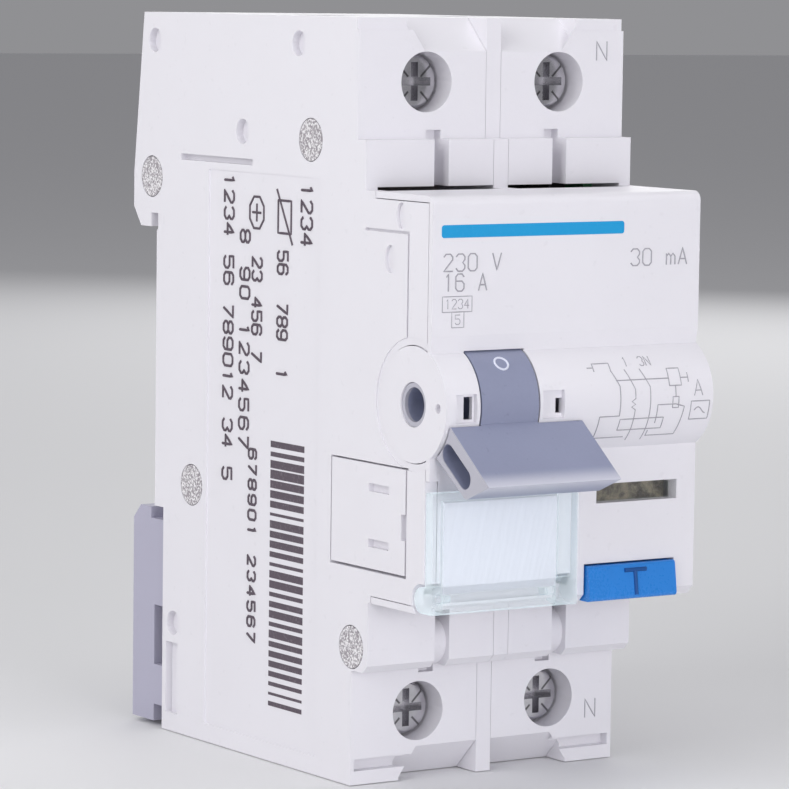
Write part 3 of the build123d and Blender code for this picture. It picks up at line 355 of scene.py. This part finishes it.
# %% Plated, rolled and dented metal
def metal(name, colour, rough, grain=(1.0, 1.0, 1.0), size=0.5, relief=0.004, mottle=0.12):
    """Metal with a mottled finish, drawn out along an axis where grain is below one."""
    finish = Finish(name)
    stretched = finish.node("Mapping", {}, {"Vector": finish.place, "Scale": grain})
    streaks = finish.noise(size, 3.0, 0.6, stretched)
    patches = finish.noise(2.2, 2.0)
    body = finish.blend(patches, shade(colour, 1 - mottle), shade(colour, 1 + mottle))
    return finish.surface(
        Base_Color=finish.blend(streaks * 0.4, body, shade(colour, 0.72)),
        Metallic=1.0,
        Roughness=rough + (streaks - 0.5) * 0.16 + (patches - 0.5) * 0.10,
        Normal=finish.bump(streaks, relief, 0.7),
    )


zinc_plating = metal("zinc_plating", (0.50, 0.49, 0.52), 0.22, mottle=0.25)
spring_steel = metal("spring_steel", (0.46, 0.46, 0.48), 0.3)
plain_steel = metal("plain_steel", (0.34, 0.34, 0.36), 0.4, (1.0, 1.0, 0.2))
copper_alloy = metal("copper_alloy", (0.72, 0.40, 0.25), 0.32, (1.0, 1.0, 0.15))
silver_tip = metal("silver_tip", (0.80, 0.80, 0.78), 0.35)
enamelled_wire = metal("enamelled_wire", (0.55, 0.20, 0.08), 0.25)


DULL_DENT, BRIGHT_DENT = (0.34, 0.31, 0.34, 1), (0.95, 0.93, 0.95, 1)
TICK_COLOUR = (0.06, 0.055, 0.06, 1)
SCREW_X, SCREW_Z = 8.75, 34.3  # how far the four screws lie from the middle


def closed_rivet(name):
    """Rivet head left rough by the closing tool: bright dents beside dull ones."""
    head = Finish(name)
    dents = head.noise(0.22, 2.0, 0.6)
    return head.surface(
        Base_Color=head.blend(dents.step(0.42, 0.60), DULL_DENT, BRIGHT_DENT),
        Metallic=0.3,
        Roughness=0.30 + dents * 0.2,
        Normal=head.bump(dents, 0.12, 0.8),
    )


def screw_plating(name):
    """Zinc plating with the four ticks between the arms of a cross recess."""
    metal(name, (0.60, 0.59, 0.62), 0.2, mottle=0.35)
    head = Finish.reopen(bpy.data.materials[name])
    base = head.shader.inputs["Base Color"]
    plating = Wire(head, base.links[0].from_socket)
    across = abs(abs(head.axis("X")) - SCREW_X * MM)
    rise = abs(abs(head.axis("Z")) - SCREW_Z * MM)
    diagonal = 1 - abs(across - rise).step(0.10 * MM, 0.24 * MM)
    outer = (across + rise).step(1.5 * MM, 1.7 * MM)
    head.join(base, head.blend(diagonal * outer * 0.85, plating, TICK_COLOUR))
    return head.material


rivet_metal = closed_rivet("rivet_metal")
screw_zinc = screw_plating("screw_zinc")
print("metals ready")

# %% [markdown]
# ## Paper, fibre and board
#
# The label card is plain white card. The chute sides are pressed fibre, and the board is green
# solder resist over glass cloth.


# %% Sheets
def sheet_stock(name, colour, rough, fibre=0.3, contrast=0.10):
    """Card, fibre or board with a fibrous tone."""
    stock = Finish(name)
    fibres = stock.noise(fibre, 4.0, 0.7)
    return stock.surface(
        Base_Color=stock.blend(fibres, shade(colour, 1 - contrast), shade(colour, 1 + contrast)),
        Roughness=rough + (fibres - 0.5) * 0.1,
        Normal=stock.bump(fibres, 0.01, 0.5),
    )


label_stock = sheet_stock("label_stock", (0.88, 0.87, 0.93), 0.7, contrast=0.01)
pressed_fibre = sheet_stock("pressed_fibre", (0.42, 0.30, 0.18), 0.85)
green_board = sheet_stock("green_board", (0.02, 0.14, 0.05), 0.35)

# %% [markdown]
# The fault window shows a flag behind the lens: an olive-brown moulding with an uneven, worn print,
# which reads as dark blotches with a lighter middle.

# %% Fault flag
DARK_PRINT, WORN_PRINT = (0.055, 0.042, 0.030, 1), (0.27, 0.235, 0.165, 1)
flag = Finish("fault_flag")
blotches = flag.noise(1.6, 3.0, 0.6)
flag_brown = flag.surface(
    Base_Color=flag.blend(blotches.step(0.35, 0.65), DARK_PRINT, WORN_PRINT),
    Roughness=0.5 + blotches * 0.2,
    Normal=flag.bump(blotches, 0.05, 0.6),
)

# %% Give each construction part its finish
slot_finish = {
    "casing_plastic": casing_white,
    "clear_plastic": flap_clear,
    "card": label_stock,
    "flag_plastic": flag_brown,
    "button_plastic": button_blue,
    "toggle_plastic": toggle_grey,
    "clip_plastic": clip_grey,
    "frame_plastic": dark_frame,
    "bobbin_plastic": bobbin_cream,
    "relay_plastic": relay_blue,
    "copper": copper_alloy,
    "silver_tips": silver_tip,
    "zinc_steel": zinc_plating,
    "spring_steel": spring_steel,
    "plain_steel": plain_steel,
    "fibre": pressed_fibre,
    "core": core_coating,
    "enamelled_wire": enamelled_wire,
    "board": green_board,
    "components": component_black,
    "phase_sleeve": phase_sleeve,
    "neutral_sleeve": neutral_sleeve,
    "rivet_metal": rivet_metal,
}
for part in frame["record"]["subparts"]:
    mesh = nodes[part["node"]].data
    mesh.materials.clear()
    mesh.materials.append(slot_finish[part["material_slot"]])
nodes["indicator_lens"].data.materials[0] = lens_clear
for end in ("line", "load"):
    for pole in ("phase", "neutral"):
        nodes[f"{end}_{pole}_screw"].data.materials[0] = screw_zinc
print("finished parts:", len(nodes))

# %% [markdown]
# ## Printing inks
#
# The print is pad-printed ink: thin, matte and slightly uneven, so a little of the plastic shows
# through where the film is thin. Each ink is one finish with its own colour.


# %% Inks
def ink(name, colour, thin=0.12):
    """Matte ink with thin places."""
    film = Finish(name)
    cover = film.noise(0.35, 3.0, 0.7)
    lighter = shade([part + thin for part in colour], 1.0)
    return film.surface(
        Base_Color=film.blend(cover.step(0.5, 0.8), shade(colour, 1.0), lighter),
        Roughness=0.55 + cover * 0.15,
        Normal=film.bump(cover, 0.004, 0.5),
    )


bar_ink = ink("bar_ink", (0.0, 0.32, 0.66), 0.02)
pale_ink = ink("pale_ink", (0.36, 0.35, 0.39), 0.10)
dark_ink = ink("dark_ink", (0.095, 0.072, 0.095), 0.09)
white_ink = ink("white_ink", (0.72, 0.74, 0.86), 0.05)
button_ink = ink("button_ink", (0.0, 0.075, 0.30), 0.03)
print("inks ready")

# %% [markdown]
# ## Lines laid on a surface
#
# Letters, frames and the wiring diagram are all strokes of one width. Each stroke is a row of
# points, dropped onto the moulding under it so that it follows a flat face, the barrel or the
# button alike. A Geometry Nodes tree then runs a round pen along the rows: the pen's lower half
# sinks into the plastic and the upper half is the raised ink.

# %% The pen
HEADROOM = 4.0  # how far off a surface a point starts when it is dropped, in millimetres
POINT_PITCH = 0.6  # the longest step between two dropped points, in millimetres
NIB_SIDES = 6
surfaces = {}


def surface_of(node):
    """Search tree of a construction part's triangles, built once."""
    if node not in surfaces:
        mesh = nodes[node].data
        corners = [corner.co for corner in mesh.vertices]
        surfaces[node] = BVHTree.FromPolygons(corners, [list(f.vertices) for f in mesh.polygons])
    return surfaces[node]


def drop(point, toward, node):
    """Where a point, given in millimetres, lands on the part: a place in metres."""
    start = (point - toward * HEADROOM) * MM
    hit = surface_of(node).ray_cast(start, toward)[0]
    if hit is None:
        raise ValueError(f"{node} has no surface under {tuple(point)}")
    return hit


def open_tree(name, sizes):
    """Node tree that takes a mesh, the named sizes and an ink, with its input node."""
    tree = bpy.data.node_groups.new(name, "GeometryNodeTree")
    tree.interface.new_socket("Geometry", in_out="INPUT", socket_type="NodeSocketGeometry")
    for size in sizes:
        tree.interface.new_socket(size, in_out="INPUT", socket_type="NodeSocketFloat")
    tree.interface.new_socket("Ink", in_out="INPUT", socket_type="NodeSocketMaterial")
    tree.interface.new_socket("Geometry", in_out="OUTPUT", socket_type="NodeSocketGeometry")
    return tree, tree.nodes.new("NodeGroupInput")


def close_tree(tree, begin, made, links):
    """Join the links, then make the geometry real, give it the ink and hand it out."""
    real = tree.nodes.new("GeometryNodeRealizeInstances")
    coat = tree.nodes.new("GeometryNodeSetMaterial")
    end = tree.nodes.new("NodeGroupOutput")
    closing = (
        (made, real.inputs["Geometry"]),
        (real.outputs["Geometry"], coat.inputs["Geometry"]),
        (begin.outputs["Ink"], coat.inputs["Material"]),
        (coat.outputs["Geometry"], end.inputs["Geometry"]),
    )
    for source, target in (*links, *closing):
        tree.links.new(source, target)
    return tree


def pen_tree():
    """Node tree that turns rows of edges into round lines."""
    tree, begin = open_tree("pen", ["Line Width"])
    rows = tree.nodes.new("GeometryNodeMeshToCurve")
    half = tree.nodes.new("ShaderNodeMath")
    half.operation = "MULTIPLY"
    half.inputs[1].default_value = 0.5
    nib = tree.nodes.new("GeometryNodeCurvePrimitiveCircle")
    nib.inputs["Resolution"].default_value = NIB_SIDES
    line = tree.nodes.new("GeometryNodeCurveToMesh")
    line.inputs["Fill Caps"].default_value = True
    links = (
        (begin.outputs["Geometry"], rows.inputs["Mesh"]),
        (begin.outputs["Line Width"], half.inputs[0]),
        (half.outputs[0], nib.inputs["Radius"]),
        (rows.outputs["Curve"], line.inputs["Curve"]),
        (nib.outputs["Curve"], line.inputs["Profile Curve"]),
    )
    return close_tree(tree, begin, line.outputs["Mesh"], links)


PEN = pen_tree()
print("pen has", len(PEN.nodes), "nodes")


# %% From a node tree to a plain piece
def plain_mesh(name, start, tree, inputs):
    """Run a node tree on a mesh and keep the result as a plain mesh object."""
    carrier = bpy.data.objects.new(name + "_rows", start)
    bpy.context.scene.collection.objects.link(carrier)
    modifier = carrier.modifiers.new("nodes", "NODES")
    modifier.node_group = tree
    for socket in tree.interface.items_tree:
        if socket.in_out == "INPUT" and socket.name in inputs:
            modifier[socket.identifier] = inputs[socket.name]
    graph = bpy.context.evaluated_depsgraph_get()
    made = bpy.data.meshes.new_from_object(carrier.evaluated_get(graph))
    carrier.modifiers.remove(modifier)
    bpy.data.objects.remove(carrier)
    made.name = name
    piece = bpy.data.objects.new(name, made)
    bpy.context.scene.collection.objects.link(piece)
    return piece


def draw(name, strokes, node, body, width, colour, toward=(0, 1, 0)):
    """Draw strokes, rows of points in millimetres, on a construction part."""
    toward = Vector(toward)
    spots, edges = [], []
    for stroke in strokes:
        for begin, end in zip(stroke, stroke[1:]):
            count = max(1, math.ceil((Vector(end) - Vector(begin)).length / POINT_PITCH))
            if begin is stroke[0]:
                spots.append(drop(Vector(begin), toward, node))
            for step in range(1, count + 1):
                spot = Vector(begin).lerp(Vector(end), step / count)
                spots.append(drop(spot, toward, node))
                edges.append((len(spots) - 2, len(spots) - 1))
    rows = bpy.data.meshes.new(name + "_rows")
    rows.from_pydata(spots, edges, [])
    piece = plain_mesh(name, rows, PEN, {"Line Width": width * MM, "Ink": colour})
    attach(piece, body)
    print(name, "faces:", len(piece.data.polygons))
    return piece


# %% [markdown]
# ## A stroke alphabet
#
# The print needs only digits and a few letters. Each sign is drawn on a grid four wide and six
# high, with cut corners, the way a plotter pen or a dot printer makes them.

# %% Signs on a four by six grid
GRID_WIDTH, GRID_HEIGHT = 4, 6
SIGN_SHARE = 0.72  # how much of the pitch a sign fills
SIGNS = {
    "0": [[(1, 0), (3, 0), (4, 1), (4, 5), (3, 6), (1, 6), (0, 5), (0, 1), (1, 0)]],
    "1": [[(1, 5), (2, 6), (2, 0)]],
    "2": [[(0, 5), (1, 6), (3, 6), (4, 5), (4, 4), (0, 0), (4, 0)]],
    "3": [[(0, 5), (1, 6), (3, 6), (4, 5), (4, 4), (3, 3), (4, 2), (4, 1), (3, 0), (1, 0), (0, 1)]],
    "4": [[(3, 0), (3, 6), (0, 2), (4, 2)]],
    "5": [[(4, 6), (0, 6), (0, 3.5), (3, 3.5), (4, 2.5), (4, 1), (3, 0), (1, 0), (0, 1)]],
    "6": [
        [(4, 5), (3, 6), (1, 6), (0, 5), (0, 1), (1, 0), (3, 0), (4, 1), (4, 2.5), (3, 3.5), (0, 3.5)]
    ],
    "7": [[(0, 6), (4, 6), (1, 0)]],
    "8": [
        [(1, 3), (0, 4), (0, 5), (1, 6), (3, 6), (4, 5), (4, 4), (3, 3), (1, 3)],
        [(1, 3), (0, 2), (0, 1), (1, 0), (3, 0), (4, 1), (4, 2), (3, 3)],
    ],
    "9": [
        [(0, 1), (1, 0), (3, 0), (4, 1), (4, 5), (3, 6), (1, 6), (0, 5), (0, 3.5), (1, 2.5), (4, 2.5)]
    ],
    "A": [[(0, 0), (2, 6), (4, 0)], [(0.7, 2), (3.3, 2)]],
    "N": [[(0, 0), (0, 6), (4, 0), (4, 6)]],
    "V": [[(0, 6), (2, 0), (4, 6)]],
    "m": [[(0, 0), (0, 4)], [(0, 3), (1, 4), (2, 3), (2, 0)], [(2, 3), (3, 4), (4, 3), (4, 0)]],
    " ": [],
}


def write(text, corner, along, up, height, advance):
    """Strokes of a line of text: corner is its lower left, advance the pitch of the signs."""
    along, up = Vector(along), Vector(up)
    unit = height / GRID_HEIGHT
    wide = min(advance * SIGN_SHARE / GRID_WIDTH, unit)
    strokes = []
    for place, sign in enumerate(text):
        for row in SIGNS[sign]:
            start = Vector(corner) + along * advance * place
            strokes.append([tuple(start + along * u * wide + up * v * unit) for u, v in row])
    return strokes


print("signs:", len(SIGNS))

# %% [markdown]
# ## Print on the nose
#
# The front cover carries a blue bar with rounded ends, and pale grey ratings under it: a voltage, a
# current, two framed figures and, on the right, the residual current at which the device trips.
# A point dropped onto the cover tells how deep its face lies.

# %% Rating print
RIGHT, UP, INWARD = (1, 0, 0), (0, 0, 1), Vector((0, 1, 0))
BAR_SPOT = (-10, 19)  # a place on the nose, under the blue bar
RATING_HEIGHT, RATING_LINE = 1.8, 0.17
FIGURE_HEIGHT, FIGURE_LINE = 1.0, 0.10
cover_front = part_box("front_cover")[0].y / MM
nose_y = drop(Vector((BAR_SPOT[0], cover_front, BAR_SPOT[1])), INWARD, "front_cover").y / MM


def frame_strokes(left, low, right, high, depth):
    """A closed rectangle of one stroke."""
    spots = [(left, low), (right, low), (right, high), (left, high), (left, low)]
    return [[(x, depth, z) for x, z in spots]]


ratings = []
for text, left, low, pitch in (
    ("230 V", -16.1, 15.25, 1.55),
    ("16 A", -16.0, 13.15, 1.45),
    ("30 mA", 8.2, 15.25, 1.6),
):
    ratings += write(text, (left, nose_y, low), RIGHT, UP, RATING_HEIGHT, pitch)
draw("rating_print", ratings, "front_cover", "casing", RATING_LINE, pale_ink)
small_print = []
for text, left, low, pitch, outline in (
    ("1234", -15.8, 11.3, 0.8, (-16.2, 10.97, -12.45, 12.6)),
    ("5", -14.55, 9.65, 0.85, (-15.0, 9.33, -13.45, 10.97)),
):
    small_print += write(text, (left, nose_y, low), RIGHT, UP, FIGURE_HEIGHT, pitch)
    small_print += frame_strokes(*outline, nose_y)
draw("framed_figures", small_print, "front_cover", "casing", FIGURE_LINE, pale_ink)

# %% [markdown]
# The blue bar is the one large printed area. It is a flat film with a rounded outline, so its
# outline is made from four quarter circles and given the thickness of the ink.


# %% Blue bar
CORNER_STEPS = 6


def rounded_film(name, left, low, right, high, depth, corner, thick, colour):
    """Film of ink with rounded corners, on a face that looks out along -Y."""
    under = []
    west, east, south, north = left + corner, right - corner, low + corner, high - corner
    for turn, (x, z) in enumerate(((east, north), (west, north), (west, south), (east, south))):
        for step in range(CORNER_STEPS + 1):
            angle = math.radians(90 * turn + 90 / CORNER_STEPS * step)
            spot = (x + corner * math.cos(angle), depth, z + corner * math.sin(angle))
            under.append(Vector(spot) * MM)
    over = [spot - Vector((0, thick * MM, 0)) for spot in under]
    count = len(under)
    faces = [tuple(reversed(range(count))), tuple(range(count, 2 * count))]
    for first in range(count):
        second = (first + 1) % count
        faces.append((first, second, second + count, first + count))
    film = bpy.data.meshes.new(name)
    film.from_pydata(under + over, [], faces)
    film.materials.append(colour)
    piece = bpy.data.objects.new(name, film)
    bpy.context.scene.collection.objects.link(piece)
    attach(piece, "casing")
    return piece


BAR_OUTLINE, BAR_CORNER, BAR_FILM = (-16.4, 18.75, 7.25, 20.1), 0.32, 0.03
blue_bar = rounded_film("blue_bar", *BAR_OUTLINE, nose_y, BAR_CORNER, BAR_FILM, bar_ink)
print("blue bar faces:", len(blue_bar.data.polygons))

# %% [markdown]
# ## Wiring diagram on the barrel
#
# The rounded front below the nose shows how the device is wired: two poles with their blades, the
# trip coil, the ring of the current transformer, the test circuit and the release. It is drawn
# flat, and the pen drops it onto the barrel.

# %% Wiring diagram
WIRING_LINE, SIGN_LINE = 0.13, 0.12


def barrel_row(*spots):
    """A stroke through places given by X and Z, in front of the barrel."""
    return [(x, cover_front, z) for x, z in spots]


wiring = [
    barrel_row((2.0, 4.2), (2.0, 5.0), (4.2, 5.0), (4.2, 4.2), (5.0, 2.6), (5.0, -0.6)),
    barrel_row((1.2, 4.6), (2.0, 4.6)),
    barrel_row(
        (6.0, 4.3), (7.0, 2.2), (7.0, 1.2), (6.5, 0.9), (7.0, 0.6), (6.5, 0.3), (7.0, 0.0), (7.0, -3.4)
    ),
    barrel_row((8.0, 4.3), (9.0, 2.4), (9.0, -3.4)),
    barrel_row((4.6, 3.2), (11.6, 3.2)),
    barrel_row((13.2, 3.2), (14.2, 3.2)),
    barrel_row((14.2, 2.7), (14.2, 3.7)),
    barrel_row((12.4, 2.4), (12.4, 1.2)),
    barrel_row(
        (10.0, -1.6), (10.0, 0.4), (12.4, 0.4), (13.6, 0.1), (13.2, -3.0), (9.4, -3.0), (9.4, -2.4)
    ),
    barrel_row((2.4, -0.6), (2.4, -3.0), (6.4, -3.0)),
    barrel_row((2.4, -0.6), (5.0, -0.6)),
]
for box in (
    (11.6, 2.4, 13.2, 4.2),
    (12.0, 0.0, 12.8, 1.2),
    (5.2, -2.2, 11.0, -1.0),
    (14.5, -1.4, 17.0, 0.6),
):
    wiring += frame_strokes(*box, cover_front)
wave = [(15.0 + step * 0.25, -0.4 + 0.35 * math.sin(step * math.pi / 4)) for step in range(7)]
wiring.append(barrel_row(*wave))
draw("wiring_print", wiring, "front_cover", "casing", WIRING_LINE, pale_ink)
signs = []
for text, left, low, height, pitch in (
    ("1", 6.2, 4.6, 0.9, 0.8),
    ("3N", 8.3, 4.6, 0.9, 0.85),
    ("A", 14.9, 1.2, 1.7, 1.8),
):
    signs += write(text, (left, cover_front, low), RIGHT, UP, height, pitch)
draw("wiring_signs", signs, "front_cover", "casing", SIGN_LINE, pale_ink)

# %% [markdown]
# ## Marks of the terminals, the toggle and the button
#
# The neutral terminals are marked N, above and below. The toggle's drum shows a ring while the
# device is off and a bar once it is on, so both ride on the toggle, and the bar waits round the
# back. The button has a T in a darker blue.

# %% Terminal, toggle and button marks
MARK_LEFT, MARK_FRONT, MARK_HEIGHT, MARK_PITCH, MARK_LINE = 13.85, -42.4, 2.1, 2.5, 0.14
for name, low in (("neutral_mark_top", 36.95), ("neutral_mark_bottom", -36.7)):
    mark = write("N", (MARK_LEFT, MARK_FRONT, low), RIGHT, UP, MARK_HEIGHT, MARK_PITCH)
    draw(name, mark, "right_casing", "casing", MARK_LINE, pale_ink)
DRUM_RADIUS, DRUM_MIDDLE = 6.3, -9.4
SIGN_TURN, TOGGLE_TRAVEL = 44.6, 72.0  # degrees
DRUM_LINE, RING_RADIUS, STROKE_HALF = 0.26, 0.8, 0.9


def drum_mark(name, turn, strokes):
    """Draw strokes on the drum, turn degrees above its front, in a thin white line."""
    angle = math.radians(turn)
    outward = Vector((0, -math.cos(angle), math.sin(angle)))
    upward = Vector((0, math.sin(angle), math.cos(angle)))
    centre = Vector((DRUM_MIDDLE, drum_axis.y, drum_axis.z)) + outward * DRUM_RADIUS
    rows = [
        [tuple(centre + Vector((across, 0, 0)) + upward * rise) for across, rise in stroke]
        for stroke in strokes
    ]
    return draw(name, rows, "toggle", "toggle", DRUM_LINE, white_ink, -outward)


ring_turns = [math.radians(step * 20) for step in range(19)]
ring = [(RING_RADIUS * math.cos(turn), RING_RADIUS * math.sin(turn)) for turn in ring_turns]
drum_mark("off_ring", SIGN_TURN, [ring])
drum_mark("on_bar", -SIGN_TURN - TOGGLE_TRAVEL, [[(0, -STROKE_HALF), (0, STROKE_HALF)]])
TEE_LEFT, TEE_MIDDLE, TEE_RIGHT, TEE_TOP, TEE_FOOT, TEE_LINE = 7.7, 9.15, 10.6, -17.7, -20.4, 0.5
button_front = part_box("test_button")[0].y / MM
tee = [
    [(TEE_LEFT, button_front, TEE_TOP), (TEE_RIGHT, button_front, TEE_TOP)],
    [(TEE_MIDDLE, button_front, TEE_TOP), (TEE_MIDDLE, button_front, TEE_FOOT)],
]
draw("test_mark", tee, "test_button", "button", TEE_LINE, button_ink)

# %% [markdown]
# ## Print on the side
#
# The side carries the dark print of a date and batch coder: rows of figures that read downwards,
# two signs for the kinds of wire, and a block of bars. The figures here only count up, and the
# bars have widths drawn at random, so neither says anything.

# %% Figures on the side
DOWN, AHEAD, SIDEWAYS = (0, 0, -1), (0, -1, 0), (1, 0, 0)
SIDE_SPOT = (-17.5, -24, 0)  # a bare place on the left side
CODER_LINE, WIRE_SIGN_LINE = 0.34, 0.30
side_x = drop(Vector(SIDE_SPOT), Vector(SIDEWAYS), "left_casing").x / MM
coder_rows = (  # text, depth of its foot, height of its start, height of a sign, pitch
    ("1234", -31.1, 23.2, 2.2, 1.8),
    ("56  789  1", -26.3, 15.6, 2.1, 1.45),
    ("23 456 7", -21.0, 14.6, 2.0, 1.5),
    ("8 90 1234567", -18.4, 17.5, 2.0, 2.1),
    ("1234 56 789012 34 5", -14.9, 23.6, 2.0, 1.84),
    ("678901 234567", -20.6, -6.9, 1.6, 1.72),
)
for number, (text, base_y, start_z, height, advance) in enumerate(coder_rows, 1):
    row = write(text, (side_x, base_y, start_z), DOWN, AHEAD, height, advance)
    draw(f"coder_row_{number}", row, "left_casing", "casing", CODER_LINE, dark_ink, SIDEWAYS)
rigid_wire = [(-26.3, 21.2), (-29.0, 21.2), (-29.0, 17.6), (-26.3, 17.6), (-26.3, 21.2)]
octagon = [math.radians(22.5 + 45 * step) for step in range(9)]
screw_sign = [(-21.8 + 1.6 * math.cos(t), 19.6 + 1.9 * math.sin(t)) for t in octagon]
outlines = [rigid_wire, [(-26.0, 22.4), (-29.3, 16.4)], screw_sign]
outlines += [[(-22.7, 19.6), (-20.9, 19.6)], [(-21.8, 20.6), (-21.8, 18.6)]]
wire_signs = [[(side_x, y, z) for y, z in outline] for outline in outlines]
draw("wire_signs", wire_signs, "left_casing", "casing", WIRE_SIGN_LINE, dark_ink, SIDEWAYS)


# %% Bars of random width
BAR_COUNT, BAR_PITCH, BAR_SEED = 27, 1.12, 11
BAR_DEPTH, FIRST_BAR = -28.7, -5.9
BAR_SIZES = {"Bar Length": 7.0, "Thinnest": 0.22, "Widest": 1.02, "Film": 0.04}


def bar_tree():
    """Node tree that puts a bar of random width on every point of a row."""
    tree, begin = open_tree("bars", BAR_SIZES)
    plate = tree.nodes.new("GeometryNodeMeshCube")
    size = tree.nodes.new("ShaderNodeCombineXYZ")
    size.inputs["Z"].default_value = 1.0
    width = tree.nodes.new("FunctionNodeRandomValue")
    width.inputs["Seed"].default_value = BAR_SEED
    stretch = tree.nodes.new("ShaderNodeCombineXYZ")
    stretch.inputs["X"].default_value = stretch.inputs["Y"].default_value = 1.0
    spread = tree.nodes.new("GeometryNodeInstanceOnPoints")
    number = [socket for socket in width.inputs if socket.type == "VALUE"]
    links = (
        (begin.outputs["Film"], size.inputs["X"]),
        (begin.outputs["Bar Length"], size.inputs["Y"]),
        (size.outputs[0], plate.inputs["Size"]),
        (begin.outputs["Thinnest"], number[0]),
        (begin.outputs["Widest"], number[1]),
        (next(o for o in width.outputs if o.type == "VALUE"), stretch.inputs["Z"]),
        (begin.outputs["Geometry"], spread.inputs["Points"]),
        (plate.outputs["Mesh"], spread.inputs["Instance"]),
        (stretch.outputs[0], spread.inputs["Scale"]),
    )
    return close_tree(tree, begin, spread.outputs["Instances"], links)


bar_rows = bpy.data.meshes.new("bar_rows")
bar_heights = [FIRST_BAR - BAR_PITCH * step for step in range(BAR_COUNT)]
bar_rows.from_pydata([Vector((side_x, BAR_DEPTH, z)) * MM for z in bar_heights], [], [])
bar_inputs = {name: value * MM for name, value in BAR_SIZES.items()}
bars = plain_mesh("coder_bars", bar_rows, bar_tree(), {**bar_inputs, "Ink": dark_ink})
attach(bars, "casing")
print("bars:", BAR_COUNT, "faces:", len(bars.data.polygons))

# %% [markdown]
# ## The floor
#
# A flat pale floor takes the shadow. It belongs to the studio, not to the device.

# %% Floor
FLOOR_HALF, FLOOR_GAP = 4.0, 0.0001  # metres
floor_finish = Finish("floor")
floor_finish.surface(Base_Color=(0.80, 0.80, 0.81, 1), Roughness=0.8)
floor_mesh = bpy.data.meshes.new("floor")
corners = [(x * FLOOR_HALF, y * FLOOR_HALF) for x, y in ((-1, -1), (1, -1), (1, 1), (-1, 1))]
floor_mesh.from_pydata([(x, y, cad_low.z - FLOOR_GAP) for x, y in corners], [], [(0, 1, 2, 3)])
floor_mesh.materials.append(floor_finish.material)
floor = bpy.data.objects.new("floor", floor_mesh)
bpy.context.scene.collection.objects.link(floor)
